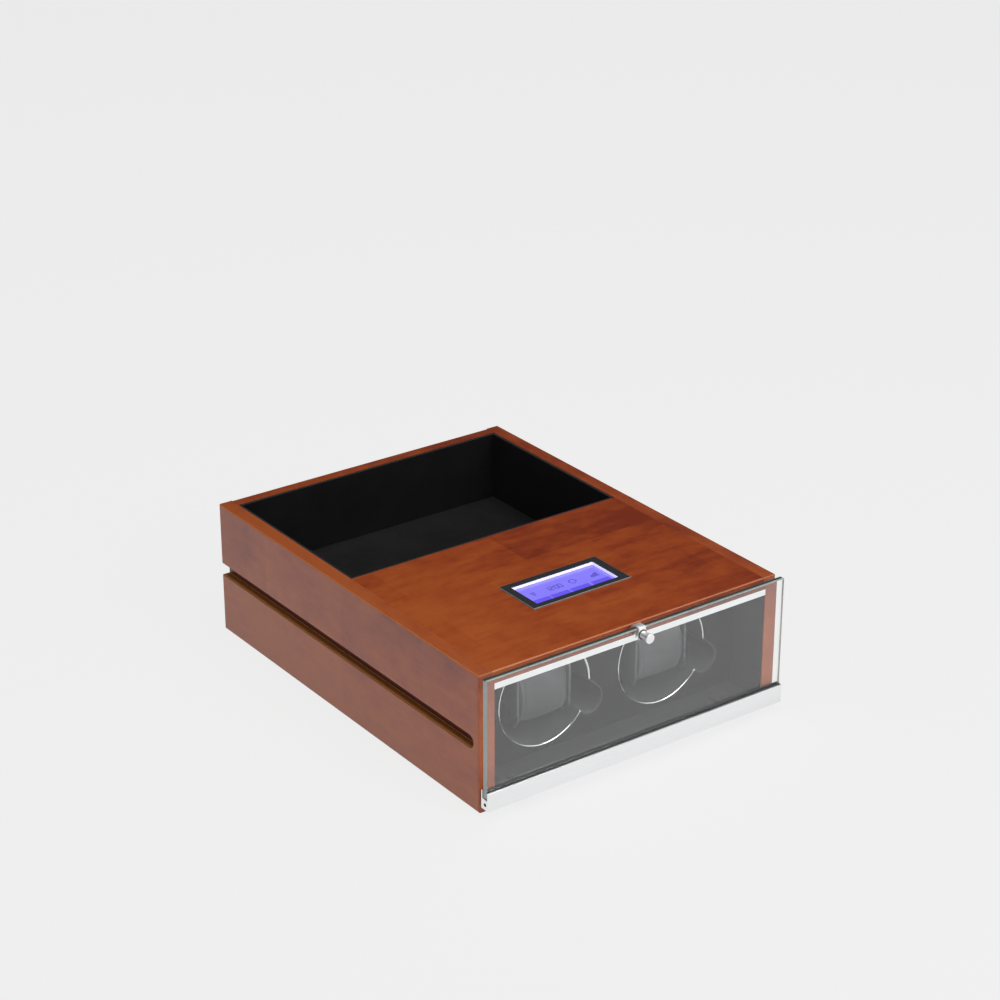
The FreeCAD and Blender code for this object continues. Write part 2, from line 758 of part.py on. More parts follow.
# Display: bezel with a sleeve through the deck, white frame, lit panel and its board
DISPLAY_Y = f"({FRONT} + display_setback)"
SLEEVE = "(frame_wall + bezel_sleeve)"
PANEL_TOP = f"({TOP} - frame_height)"
PANEL_UNDER = f"({PANEL_TOP} - panel_thick)"


def display_block(name, grow, levels):
    """Block as large as the window grown all round."""
    half_y = f"(window_depth / 2 + {grow})"
    return box(name, both(f"window_length / 2 + {grow}"),
               (f"{DISPLAY_Y} - {half_y}", f"{DISPLAY_Y} + {half_y}"), levels)


bezel_flange = box("bezel_flange", both("display_length / 2"),
                   (f"{DISPLAY_Y} - display_depth / 2", f"{DISPLAY_Y} + display_depth / 2"),
                   (TOP, f"{TOP} + bezel_proud"))
bezel_soft = rounded("bezel_soft", bezel_flange, "bezel_proud / 2",
                     lambda edge: edge.CenterOfMass.z > value(f"{TOP} + bezel_proud / 2") + TINY)
bezel_sleeve = display_block("bezel_sleeve_block", SLEEVE, (DECK_UNDER, TOP))
bezel_window = display_block("bezel_window", "0", (DECK_UNDER, f"{TOP} + 2 * bezel_proud"))
bezel_room = display_block("bezel_room", "frame_wall", (DECK_UNDER, TOP))
bezel_solid = fuse("bezel_solid", bezel_soft, bezel_sleeve)
piece(cut("bezel", bezel_solid, bezel_window, bezel_room), "display_bezel")
frame_block = display_block("frame_block", "frame_wall", (PANEL_TOP, TOP))
frame_room = display_block("frame_room", "0", (PANEL_TOP, TOP))
piece(cut("frame", frame_block, frame_room), "display_frame")
piece(display_block("panel", "frame_wall", (PANEL_UNDER, PANEL_TOP)), "display_panel")
board_block = display_block("display_board_block", "frame_wall", (
    f"{PANEL_UNDER} - display_board_thick", PANEL_UNDER))
piece(board_block, "display_board")

# Light bar under the deck's front edge
LIGHT_UNDER = f"({DECK_UNDER} - light_height)"
LIGHT_FACE = f"({FRONT} + diffuser_thick)"
light_span = both(f"{INNER} - liner_gap")
light_block = box("light_block", light_span, (LIGHT_FACE, f"{FRONT} + light_depth"),
                  (LIGHT_UNDER, DECK_UNDER))
light_room = box("light_room", light_span, (LIGHT_FACE, f"{FRONT} + light_depth - light_wall"),
                 (f"{LIGHT_UNDER} + light_wall", f"{DECK_UNDER} - light_wall"))
piece(cut("light_case", light_block, light_room), "light_housing")
piece(box("light_board", light_span,
          (f"{FRONT} + light_depth - light_wall - light_board_thick",
           f"{FRONT} + light_depth - light_wall"),
          (f"{LIGHT_UNDER} + light_wall", f"{DECK_UNDER} - light_wall")), "light_strip")
piece(box("diffuser", light_span, (FRONT, LIGHT_FACE), (LIGHT_UNDER, DECK_UNDER)), "light_diffuser")

# Deck between the sides, with the display's cut-out and the magnet's hole
deck_board = box("deck_board", both(INNER), (FRONT, DECK_END), (DECK_UNDER, TOP))
deck_soft = rounded("deck_soft", deck_board, "edge_radius",
                    lambda edge: abs(edge.CenterOfMass.y - value(FRONT)) < TINY
                    and abs(edge.CenterOfMass.z - value(TOP)) < TINY)
deck_window = display_block("deck_window", f"{SLEEVE} + display_fit", (DECK_UNDER, TOP))
magnet_hole = rod("magnet_hole", "y", "magnet_radius", (FRONT, f"{FRONT} + magnet_depth"),
                  ("0", "knob_level"))
piece(cut("deck", deck_soft, deck_window, magnet_hole, dowel_group), "top_deck")

# Hinge brackets on the base: an eye in front of the case and a foot with two screws
HINGE_Y = f"({FRONT} - hinge_setback)"
bracket_bodies = []
bracket_screws = []
bracket_holes = []
foot_rooms = []
for side, way in SIDES:
    x = f"{way} * hinge_spread / 2"
    span = (f"{x} - hinge_width / 2", f"{x} + hinge_width / 2")
    foot = box(f"{side}_hinge_foot", span, (HINGE_Y, f"{FRONT} + hinge_foot"),
               ("base_thick", "base_thick + hinge_thick"))
    eye = rod(f"{side}_hinge_eye", "x", "eye_radius", span, (HINGE_Y, "hinge_level"))
    bore = rod(f"{side}_hinge_bore", "x", "pin_radius + pin_play", span, (HINGE_Y, "hinge_level"))
    holes = []
    for spot, order in (("front", 0), ("rear", 1)):
        centre = (x, f"{FRONT} + hinge_screw_inset + {order} * hinge_screw_pitch")
        body, hole = screw(f"{side}_hinge_screw_{spot}", "z", "base_thick + hinge_thick", -1, centre)
        bracket_screws.append(body)
        holes.append(hole)
    bracket_bodies.append(cut(f"{side}_hinge", fuse(f"{side}_hinge_solid", foot, eye), bore, *holes))
    bracket_holes += holes
    foot_rooms.append(box(f"{side}_foot_room",
                          (f"{span[0]} - hinge_side_room", f"{span[1]} + hinge_side_room"),
                          (FRONT, f"{FRONT} + hinge_foot + hinge_side_room"),
                          ("base_thick", "base_thick + hinge_thick")))
piece(group("hinge_bracket_group", *bracket_bodies), "hinge_brackets")
piece(group("hinge_screw_group", *bracket_screws), "hinge_screws")
hinge_hole_group = group("hinge_hole_group", *bracket_holes)

# Base panel and the linings of the front compartment
base_board = box("base_board", both(INNER), (FRONT, BACK_INNER), ("0", "base_thick"))
piece(cut("base", base_board, dowel_group, foot_hole_group, hinge_hole_group), "bottom_panel")
LINING = (f"{FRONT} + lining_setback", FASCIA)
floor_card = box("floor_card", both(INNER), LINING, ("base_thick", "base_thick + lining_thick"))
piece(cut("floor_cover", floor_card, *foot_rooms), "floor_lining")
side_cards = []
for side, way in SIDES:
    ends = (f"{way} * {INNER}", f"{way} * ({INNER} - lining_thick)")
    span = ends if way < 0 else ends[::-1]
    side_cards.append(box(f"{side}_card", span, LINING, ("base_thick + lining_thick", LIGHT_UNDER)))
piece(group("side_card_group", *side_cards), "side_linings")

# Door: glass in a gasket in the bottom channel
CHANNEL_BACK = f"({FRONT} - channel_back_gap)"
CHANNEL_FRONT = f"({CHANNEL_BACK} - channel_depth)"
CHANNEL_TOP = "(channel_level + channel_height)"
GLASS_BACK = f"({FRONT} - door_gap)"
GLASS_FRONT = f"({GLASS_BACK} - glass_thick)"
SLOT_FRONT = f"({GLASS_FRONT} - gasket_thick)"
SLOT_BACK = f"({GLASS_BACK} + gasket_thick)"
GLASS_FOOT = "(slot_level + gasket_thick)"
door_half = f"({HALF} + channel_overhang)"
channel_bar = pad("channel_bar", [
    (CHANNEL_FRONT, "channel_level"), (CHANNEL_BACK, "channel_level"), (CHANNEL_BACK, CHANNEL_TOP),
    (SLOT_BACK, CHANNEL_TOP), (SLOT_BACK, "slot_level"), (SLOT_FRONT, "slot_level"),
    (SLOT_FRONT, CHANNEL_TOP), (CHANNEL_FRONT, CHANNEL_TOP)], both(door_half))
channel_cuts = []
hinge_pins = []
for side, way in SIDES:
    x = f"{way} * hinge_spread / 2"
    room = "(hinge_width / 2 + hinge_side_room)"
    channel_cuts.append(box(f"{side}_eye_room", (f"{x} - {room}", f"{x} + {room}"),
                            (f"{HINGE_Y} - eye_radius - eye_room", CHANNEL_BACK),
                            ("channel_level", "hinge_level + eye_radius + eye_room")))
    reach = f"({room} + pin_reach)"
    end = f"{way} * {door_half}"
    inner = f"{x} - {way} * {reach}"
    span = (inner, end) if way > 0 else (end, inner)
    channel_cuts.append(rod(f"{side}_pin_bore", "x", "pin_bore_radius", span, (HINGE_Y, "hinge_level")))
    hinge_pins.append(rod(f"{side}_pin", "x", "pin_radius", (f"{x} - {reach}", f"{x} + {reach}"),
                          (HINGE_Y, "hinge_level")))
piece(cut("channel", channel_bar, *channel_cuts), "door_channel")
piece(group("pin_group", *hinge_pins), "hinge_pins")
GASKET_TOP = f"({CHANNEL_TOP} + gasket_proud)"
piece(pad("gasket", [
    (SLOT_FRONT, "slot_level"), (SLOT_BACK, "slot_level"), (SLOT_BACK, GASKET_TOP),
    (GLASS_BACK, GASKET_TOP), (GLASS_BACK, GLASS_FOOT), (GLASS_FRONT, GLASS_FOOT),
    (GLASS_FRONT, GASKET_TOP), (SLOT_FRONT, GASKET_TOP)], both(HALF)), "glass_gasket")
pane = box("pane", both(HALF), (GLASS_FRONT, GLASS_BACK), (GLASS_FOOT, TOP))
pane_hole = rod("pane_hole", "y", "stud_radius + stud_room", (GLASS_FRONT, GLASS_BACK),
                ("0", "knob_level"))
piece(cut("glass", pane, pane_hole), "door_glass")

# Knob with its stud, and the clip over the glass's top edge
CLIP_FRONT = f"({GLASS_FRONT} - clip_room - clip_thick)"
CLIP_BACK = f"({GLASS_BACK} + clip_room + clip_thick)"
CLIP_TOP = f"({TOP} + clip_room + clip_thick)"
CLIP_LOW = f"({TOP} - clip_drop)"
clip_bar = pad("clip_bar", [
    (CLIP_FRONT, CLIP_LOW), (f"{GLASS_FRONT} - clip_room", CLIP_LOW),
    (f"{GLASS_FRONT} - clip_room", f"{TOP} + clip_room"),
    (f"{GLASS_BACK} + clip_room", f"{TOP} + clip_room"), (f"{GLASS_BACK} + clip_room", CLIP_LOW),
    (CLIP_BACK, CLIP_LOW), (CLIP_BACK, CLIP_TOP), (CLIP_FRONT, CLIP_TOP)], both("clip_width / 2"))
clip_hole = rod("clip_hole", "y", "stud_radius", (CLIP_FRONT, CLIP_BACK), ("0", "knob_level"))
piece(cut("clip", clip_bar, clip_hole), "knob_clip")
KNOB_FOOT = f"({CLIP_FRONT} - knob_foot_length)"
KNOB_NECK = f"({KNOB_FOOT} - knob_neck_length)"
KNOB_END = f"({KNOB_NECK} - knob_head_length)"
piece(turned("knob", [
    ("0", KNOB_END), ("knob_radius", KNOB_END), ("knob_radius", KNOB_NECK),
    ("knob_neck_radius", KNOB_NECK), ("knob_neck_radius", KNOB_FOOT), ("knob_foot_radius", KNOB_FOOT),
    ("knob_foot_radius", CLIP_FRONT), ("stud_radius", CLIP_FRONT), ("stud_radius", CLIP_BACK),
    ("0", CLIP_BACK)], "0", "knob_level"), "door_knob")
piece(rod("magnet", "y", "magnet_radius", (f"{CLIP_BACK} + magnet_gap", f"{FRONT} + magnet_depth"),
          ("0", "knob_level")), "door_magnet")

# Power inlet through the back, with its nut inside
INLET_END = f"({BACK} + inlet_flange_thick)"
INLET_START = f"({INLET_END} - inlet_length)"
socket_floor = f"{BACK} - inlet_length / 2"
socket = turned("socket", [
    ("0", INLET_START), ("inlet_radius", INLET_START), ("inlet_radius", BACK),
    ("inlet_flange_radius", BACK), ("inlet_flange_radius", INLET_END),
    ("inlet_bore_radius", INLET_END), ("inlet_bore_radius", socket_floor),
    ("inlet_pin_radius", socket_floor), ("inlet_pin_radius", BACK), ("0", BACK)],
    "inlet_offset", "inlet_level")
piece(socket, "power_inlet")
piece(turned("inlet_ring", [
    ("inlet_radius", f"{BACK_INNER} - nut_thick"), ("nut_radius", f"{BACK_INNER} - nut_thick"),
    ("nut_radius", BACK_INNER), ("inlet_radius", BACK_INNER)], "inlet_offset", "inlet_level"),
    "inlet_nut")

# Driver board on standoffs under the tray
BOARD_BACK = f"({BACK_INNER} - board_setback)"
BOARD_FRONT = f"({BOARD_BACK} - board_width)"
BOARD_UNDER = "(base_thick + standoff_height)"
BOARD_TOP = f"({BOARD_UNDER} + board_thick)"
board_half = "board_length / 2"
board_card = box("board_card", both(board_half), (BOARD_FRONT, BOARD_BACK), (BOARD_UNDER, BOARD_TOP))
blocks = []
for name, (low, high) in BOARD_BLOCKS.items():
    x_span = (f"board_length * {low} - {board_half}", f"board_length * {high} - {board_half}")
    blocks.append(box(f"board_{name}", x_span,
                      (f"{BOARD_FRONT} + board_width / 4", f"{BOARD_BACK} - board_width / 4"),
                      (BOARD_TOP, f"{BOARD_TOP} + board_part_height * {high}")))
piece(fuse("board", board_card, *blocks), "driver_board")
posts = []
for side, way in SIDES:
    for spot, y in (("front", f"{BOARD_FRONT} + standoff_inset"),
                    ("rear", f"{BOARD_BACK} - standoff_inset")):
        posts.append(rod(f"post_{side}_{spot}", "z", "standoff_radius", ("base_thick", BOARD_UNDER),
                         (f"{way} * ({board_half} - standoff_inset)", y)))
piece(group("post_group", *posts), "board_standoffs")


# Leads from the motors, the display and the inlet to the driver board


def lead(name, stops):
    """Round tube along straight runs with a tangent arc at each inner stop."""
    points = [Vector(*[value(text) for text in stop]) for stop in stops]
    bend = value("lead_bend")
    edges = []
    start = points[0]
    for before, corner, after in zip(points, points[1:], points[2:]):
        arrive = (corner - before).normalize()
        leave = (after - corner).normalize()
        setback = bend * math.tan(arrive.getAngle(leave) / 2)
        first = corner - arrive * setback
        last = corner + leave * setback
        inward = (leave - arrive).normalize()
        depth = math.hypot(bend, setback) - bend
        edges.append(Part.LineSegment(start, first).toShape())
        edges.append(Part.Arc(first, corner + inward * depth, last).toShape())
        start = last
    edges.append(Part.LineSegment(start, points[-1]).toShape())
    path = Part.Wire(edges)
    ring = Part.Wire(Part.makeCircle(value("lead_radius"), points[0], points[1] - points[0]))
    tube = doc.addObject("Part::Feature", name)
    tube.Shape = path.makePipeShell([ring], True, False)
    return tube


MOTOR_END = f"({BRACKET_BACK} + motor_length)"
LEAD_NEAR = f"({MOTOR_END} + lead_clearance)"
HOLE_Z = "(inlet_level + cable_hole_radius)"
PLUG_FACE = f"(board_length * {BOARD_BLOCKS['plug'][1]} - {board_half})"
BOARD_UNDERSIDE = f"({PANEL_UNDER} - display_board_thick)"
LOOM_LEVEL = f"({DECK_UNDER} - lead_pitch)"
DISPLAY_SIDE = "(window_length / 4)"
DISPLAY_EXIT = f"({DISPLAY_Y} + window_depth / 2 - lead_margin)"


def plug_y(order):
    return f"{BOARD_FRONT} + board_width / 4 + lead_margin + {order} * lead_pitch"


right_x = "inlet_offset + lead_spread"
left_x = "inlet_offset - lead_spread"
high_z = f"{HOLE_Z} + lead_spread"
low_z = f"{HOLE_Z} - lead_spread"
right_y = LEAD_NEAR
left_y = f"{LEAD_NEAR} + lead_spread"
drop_y = f"{LEAD_NEAR} + 2 * lead_spread"
plug_z = f"{BOARD_TOP} + board_part_height / 2"
leads = [
    lead("display_lead", [
        (DISPLAY_SIDE, DISPLAY_EXIT, BOARD_UNDERSIDE), (DISPLAY_SIDE, DISPLAY_EXIT, LOOM_LEVEL),
        (left_x, drop_y, LOOM_LEVEL), (left_x, drop_y, HOLE_Z), (left_x, plug_y(0), plug_z),
        (PLUG_FACE, plug_y(0), plug_z)]),
    lead("right_motor_lead", [
        (motor_x(1), MOTOR_END, "rotor_level"), (motor_x(1), right_y, "rotor_level"),
        (right_x, right_y, high_z), (right_x, plug_y(1), plug_z), (PLUG_FACE, plug_y(1), plug_z)]),
    lead("left_motor_lead", [
        (motor_x(-1), MOTOR_END, "rotor_level"), (motor_x(-1), left_y, "rotor_level"),
        (right_x, left_y, low_z), (right_x, plug_y(2), plug_z), (PLUG_FACE, plug_y(2), plug_z)]),
    lead("inlet_lead", [
        ("inlet_offset", INLET_START, "inlet_level"), ("inlet_offset", plug_y(3), "inlet_level"),
        (PLUG_FACE, plug_y(3), "inlet_level")]),
]
piece(group("lead_group", *leads), "wiring_leads")

# Every feature has to be sound before a file is written
doc.recompute()
for item in doc.Objects:
    if "Invalid" in item.State or "Error" in item.State:
        raise RuntimeError(f"{item.Name} failed: {item.State}")
os.makedirs("parts", exist_ok=True)
for item in PIECES:
    if item.Shape.isNull() or not item.Shape.isValid():
        raise RuntimeError(item.Label + " has no sound shape")
for item in PIECES:
    item.Shape.exportStep(f"parts/{item.Label}.step")
    print(item.Label, len(item.Shape.Solids), round(item.Shape.Volume, 1))
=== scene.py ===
"""Looks of a watch winder box: finishes, soft pads, glass, display and stage round its fixed frame."""
import math

import bpy
from bpy.props import FloatProperty, FloatVectorProperty, IntProperty, PointerProperty
from mathutils import Matrix, Vector


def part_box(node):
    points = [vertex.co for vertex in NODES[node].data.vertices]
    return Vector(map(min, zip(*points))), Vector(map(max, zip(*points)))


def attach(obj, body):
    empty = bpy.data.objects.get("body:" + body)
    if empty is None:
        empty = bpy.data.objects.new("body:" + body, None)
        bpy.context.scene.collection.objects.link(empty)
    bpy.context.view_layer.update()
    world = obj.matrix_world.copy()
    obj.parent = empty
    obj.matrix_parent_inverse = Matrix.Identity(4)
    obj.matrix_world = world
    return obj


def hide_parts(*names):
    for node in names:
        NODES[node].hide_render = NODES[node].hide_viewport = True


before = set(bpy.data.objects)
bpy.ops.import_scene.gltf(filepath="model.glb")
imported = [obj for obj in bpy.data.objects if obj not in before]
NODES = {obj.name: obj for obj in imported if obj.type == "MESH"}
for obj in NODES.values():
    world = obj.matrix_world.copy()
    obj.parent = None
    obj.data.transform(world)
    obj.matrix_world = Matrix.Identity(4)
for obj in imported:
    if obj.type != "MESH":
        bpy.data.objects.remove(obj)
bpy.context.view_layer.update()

bl_info = {
    "name": "Watch Winder Box",
    "version": (1, 0, 0),
    "blender": (4, 5, 0),
    "location": "View3D > Sidebar > Winder",
    "description": "Dresses a wooden watch winder box with its finishes, pads, glass and display",
    "category": "Object",
}

SIDES = ("left", "right")
MM = 0.001
BLACK = (0.0, 0.0, 0.0)
MID_GREY = (0.5, 0.5, 0.5)
WHITE = (1.0, 1.0, 1.0)

# Outer faces of the case
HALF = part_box("right_side_panel")[1].x
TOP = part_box("right_side_panel")[1].z
FRONT = -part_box("right_side_panel")[0].y

# Limits for picking and joining faces, with angles in radians
WELD = 0.002 * MM
SKIN = 0.1 * MM
FLAT_ANGLE = 0.005
SHARP_ANGLE = 0.6
SMOOTH_ANGLE = 0.7
SQUARE_ON = 0.99
EDGE_ON = 0.3
BORE_WALL = 0.5


def tint(name, words, default):
    """Colour property in linear light."""
    return FloatVectorProperty(name=name, description=words, subtype="COLOR", size=3, min=0.0, max=1.0,
                               default=default)


def length(name, words, default):
    """Length property in metres."""
    return FloatProperty(name=name, description=words, default=default, min=0.0, unit="LENGTH", precision=5)


def level(name, words, default):
    """Property for a strength, power or pressure."""
    return FloatProperty(name=name, description=words, default=default, min=0.0)


class WinderColours(bpy.types.PropertyGroup):
    """Colours that a user may change."""
    stain_dark: tint("Dark stain", "Darkest clouds of the stained wood", (0.152, 0.017, 0.003))
    stain: tint("Stain", "Middle tone of the stained wood", (0.253, 0.041, 0.005))
    stain_light: tint("Light stain", "Lightest figure of the stained wood", (0.317, 0.067, 0.010))
    # Painted highlight: the light that the rounded arrises of the case catch
    arris_highlight: tint("Arris highlight", "Painted highlight along the arrises", (0.470, 0.180, 0.065))
    # Painted light: the lit floor of the runner grooves
    groove: tint("Groove floor", "Painted light on the floor of the runner grooves", (0.620, 0.260, 0.070))
    board: tint("Inner board", "Bare sheet board inside the case", (0.300, 0.200, 0.110))
    lining: tint("Lining", "Black nap of the tray's liner", (0.0060, 0.0055, 0.0056))
    # Painted highlight along the top edge of the tray's liner
    liner_rim_highlight: tint("Liner rim", "Painted highlight on the rim of the tray's liner", (0.022, 0.022, 0.024))
    # Paler than the liner's nap: painted light on the tray's floor, which faces up
    tray_floor: tint("Tray floor", "Nap of the tray's floor pad", (0.0092, 0.0084, 0.0086))
    sheen: tint("Sheen", "Sheen on the nap of tray and pads", (0.550, 0.560, 0.600))
    fascia: tint("Fascia", "Matt black of fascia and inner cards", (0.0070, 0.0066, 0.0078))
    # Lighter than the fascia's black: painted light in the shaded wells, ring sleeves and turntables
    well: tint("Well", "Black of wells, ring sleeves and turntables, lightened as painted light", (0.0390, 0.0384, 0.0425))
    pad: tint("Pad cloth", "Suede cloth of the watch pads", (0.0800, 0.0797, 0.0835))
    chrome: tint("Chrome", "Polished trim", (0.860, 0.860, 0.870))
    aluminium: tint("Aluminium", "Bright anodised door channel", (0.900, 0.905, 0.915))
    # Also the dark finish on the knob's rear end, which draws a dark ring at its foot
    rubber: tint("Rubber", "Black of the gasket's rubber and of the knob's rear band", (0.012, 0.012, 0.013))
    bore: tint("Bore", "Shade inside the channel's pin bores", (0.008, 0.008, 0.008))
    steel: tint("Steel", "Zinc plated inner metal", (0.560, 0.560, 0.570))
    brass: tint("Brass", "Turned brass of the shaft bushes", (0.720, 0.500, 0.200))
    resin: tint("Resin", "Pale resin of pulleys and standoffs", (0.720, 0.700, 0.640))
    belt: tint("Belt", "Rubber of the drive belts", (0.020, 0.020, 0.020))
    circuit: tint("Circuit board", "Green of the circuit boards", (0.020, 0.140, 0.050))
    sheath: tint("Lead sheath", "Sheath of the wiring leads", (0.030, 0.030, 0.030))
    opal: tint("Opal", "Opal cover of the light bar", (0.930, 0.940, 0.950))
    bezel: tint("Bezel", "Satin black of the display's bezel", (0.0180, 0.0195, 0.0215))
    # Painted highlight along the bezel's outer edge
    bezel_highlight: tint("Bezel highlight", "Painted highlight on the outer edge of the display's bezel", (0.220, 0.230, 0.240))
    display_frame: tint("Display frame", "White frame round the lit panel", (0.900, 0.900, 0.900))
    lcd: tint("Display", "Backlit display ground", (0.250, 0.210, 1.000))
    lcd_tile: tint("Display tile", "Darker tiles along the display's front", (0.140, 0.100, 0.860))
    lcd_figure: tint("Display figure", "Figures and signs on the display", (0.095, 0.075, 0.480))
    glass: tint("Glass", "Body colour that shows at the pane's edges", (0.500, 0.600, 0.575))
    pane: tint("Pane", "Tint of what is seen through the pane", (0.985, 0.995, 0.990))
    pane_shadow: tint("Pane shadow", "Tint of the lamps' light behind the pane", (0.920, 0.950, 0.940))
    floor: tint("Floor", "Floor as it throws light back on the box", (0.800, 0.800, 0.800))
    backdrop: tint("Backdrop", "Pale floor as it is seen behind the box", (0.868, 0.868, 0.868))


class WinderSizes(bpy.types.PropertyGroup):
    """Sizes and levels that a user may change."""
    arris: length("Arris", "Bevel on the edges of metal trim", 0.0003)
    ring_band: length("Ring band", "Width of the polished rings' sloped inner band", 0.00078)
    ring_slope: length("Ring slope", "Depth of the polished rings' sloped inner band", 0.0005)
    # Length of the knob's rear end that gets a dark finish, which draws the dark ring at its foot
    knob_dark_band: length("Knob dark band", "Length of the dark band at the knob's rear end", 0.00085)
    glass_arris: length("Glass arris", "Ground bevel on the pane's edges", 0.0005)
    stave_length: length("Stave length", "Length of a stave in the deck", 0.118)
    stave_width: length("Stave width", "Width of a stave in the deck", 0.052)
    pad_voxel: length("Pad voxel", "Mesh size of the pad before its cloth swells", 0.0022)
    pad_cap: length("Pad cap", "How far a point of the pad's cloth may move", 0.0026)
    pad_pressure: level("Pad pressure", "Pressure inside the pad's cloth", 4.0)
    seam_inset: length("Seam inset", "Seam's distance from the pad's end", 0.0045)
    seam_depth: length("Seam depth", "How deep the seam draws the cloth in", 0.0007)
    seam_width: length("Seam width", "Half width of the fold along the seam", 0.0009)
    figure_height: length("Figure height", "Height of the display's figures", 0.0062)
    figure_stroke: length("Figure stroke", "Stroke of the display's figures", 0.0009)
    glow: level("Glow", "Strength of the lit display", 0.90)
    frame_glow: level("Frame glow", "Strength of the light in the display's frame", 0.3)
    light_bar: level("Light bar", "Strength of the compartment's light", 0.78)
    key: level("Key light", "Power of the softbox in front", 36.0)
    top: level("Top light", "Power of the softbox above", 33.0)
    ambient: level("Ambient", "Level of the room's even light", 0.035)
    bar_lamp: level("Bar lamp", "Light that the light bar throws inside", 0.055)
    trim: level("Trim light", "Power of the softbox that metal trim mirrors", 26.0)
    fill: level("Fill light", "Power of the softbox at the left", 13.0)
    ring_steps: IntProperty(name="Ring steps", description="Corners of the display's round sign",
                            default=40, min=8)


def colours():
    return bpy.context.scene.winder_colours


def sizes():
    return bpy.context.scene.winder_sizes


def rgba(colour):
    return (*colour, 1.0)


def shade(colour, factor):
    return tuple(min(1.0, part * factor) for part in colour)


class Signal:
    """One socket of a node tree. Arithmetic on it adds Math nodes."""

    def __init__(self, wiring, socket):
        self.wiring = wiring
        self.socket = socket

    def math(self, operation, *values):
        return self.wiring.node("Math", {"operation": operation}, dict(enumerate(values)))

    def __add__(self, other):
        return self.math("ADD", self, other)

    __radd__ = __add__

    def __mul__(self, other):
        return self.math("MULTIPLY", self, other)

    __rmul__ = __mul__

    def __sub__(self, other):
        return self.math("SUBTRACT", self, other)

    def __rsub__(self, other):
        return self.math("SUBTRACT", other, self)

    def __truediv__(self, other):
        return self.math("DIVIDE", self, other)

    def __abs__(self):
        return self.math("ABSOLUTE", self)

    def most(self, other):
        """The larger of two values."""
        return self.math("MAXIMUM", self, other)

    def least(self, other):
        """The smaller of two values."""
        return self.math("MINIMUM", self, other)

    def over(self, low, high):
        """0 below low, 1 above high, smooth between."""
        return self.wiring.node("MapRange", {"interpolation_type": "SMOOTHSTEP"},
                                {"Value": self, "From Min": low, "From Max": high})


class Wiring:
    """Nodes of a tree, added one at a time."""

    def __init__(self, tree):
        self.tree = tree

    def feed(self, socket, value):
        """Links a signal to a socket, or sets the socket to a plain value."""
        if isinstance(value, Signal):
            self.tree.links.new(value.socket, socket)
        else:
            socket.default_value = value

    def node(self, kind, settings, sockets, out=0):
        """Adds a node, gives it its settings, then its values and links, and returns one output."""
        made = self.tree.nodes.new("ShaderNode" + kind)
        for setting, value in settings.items():
            if setting == "stops":
                ramp = made.color_ramp.elements
                for number, (place, colour) in enumerate(value):
                    stop = ramp[number] if number < len(ramp) else ramp.new(place)
                    stop.position = place
                    stop.color = rgba(colour)
            else:
                setattr(made, setting, value)
        for socket, value in sockets.items():
            self.feed(made.inputs[socket], value)
        return Signal(self, made.outputs[out])

    def mix(self, factor, first, second):
        """Blend of two colours."""
        return self.node("Mix", {"data_type": "RGBA"}, {0: factor, 6: first, 7: second}, out=2)


class Finish(Wiring):
    """A material with a Principled shader and the nodes that feed it."""

    def __init__(self, name, constants):
        self.material = bpy.data.materials.new(name)
        self.material.use_nodes = True
        super().__init__(self.material.node_tree)
        self.shader = self.tree.nodes["Principled BSDF"]
        for socket, value in constants.items():
            self.feed(self.shader.inputs[socket], value)
        self.place = self.node("TexCoord", {}, {}, out="Object")

    def set(self, socket, value):
        self.feed(self.shader.inputs[socket], value)
        return self

    def blend(self, factor, other):
        """Mixes the Principled shader with another one."""
        plain = Signal(self, self.shader.outputs[0])
        mixed = self.node("MixShader", {}, {0: factor, 1: plain, 2: other})
        self.feed(self.tree.nodes["Material Output"].inputs["Surface"], mixed)

    def spot(self):
        """The three coordinates of the surface, one by one."""
        split = self.node("SeparateXYZ", {}, {"Vector": self.place})
        return [Signal(self, output) for output in split.socket.node.outputs]

    def stretched(self, scale, turn=(0.0, 0.0, 0.0)):
        return self.node("Mapping", {}, {"Vector": self.place, "Scale": scale, "Rotation": turn})

    def along(self, run, share):
        """Coordinates that draw a pattern out along one axis."""
        return self.stretched([share if axis == run else 1.0 for axis in "xyz"])

    def noise(self, scale, detail=3.0, roughness=0.5, where=None):
        return self.node("TexNoise", {}, {"Vector": where or self.place, "Scale": scale, "Detail": detail,
                                          "Roughness": roughness})

    def varied(self, factor, colour, first, second):
        """Blend of two shades of one colour."""
        return self.mix(factor, rgba(shade(colour, first)), rgba(shade(colour, second)))

    def bump(self, height, depth, strength=1.0):
        relief = self.node("Bump", {}, {"Height": height, "Distance": depth, "Strength": strength})
        return self.set("Normal", relief)


def moulded(name, colour, roughness=0.5, grit=900.0, depth=0.04 * MM, vary=0.12, constants=None):
    """Plastic, rubber, card or paint with a fine texture and a little unevenness."""
    finish = Finish(name, constants or {})
    cloud = finish.noise(35.0, 4.0)
    finish.set("Base Color", finish.varied(cloud, colour, 1 - vary, 1 + vary))
    finish.set("Roughness", roughness - 0.06 + 0.12 * cloud)
    return finish.bump(finish.noise(grit, 2.0), depth).material


def brushed(name, colour, roughness, run):
    """Metal with fine lines along one axis and faint handling marks."""
    finish = Finish(name, {"Metallic": 1.0})
    lines = finish.noise(1500.0, 3.0, where=finish.along(run, 0.02))
    marks = finish.noise(28.0, 4.0)
    finish.set("Base Color", finish.varied(lines, colour, 0.95, 1.03))
    finish.set("Roughness", roughness - 0.05 + 0.10 * lines + 0.06 * marks)
    return finish.bump(lines, 0.006 * MM, 0.5).material


def polished(name, colour, roughness):
    """Chrome plate with faint smears."""
    finish = Finish(name, {"Metallic": 1.0})
    smear = finish.noise(60.0, 5.0, 0.6)
    finish.set("Base Color", finish.varied(smear, colour, 0.96, 1.0))
    return finish.set("Roughness", roughness + 0.06 * smear.over(0.45, 0.75)).material


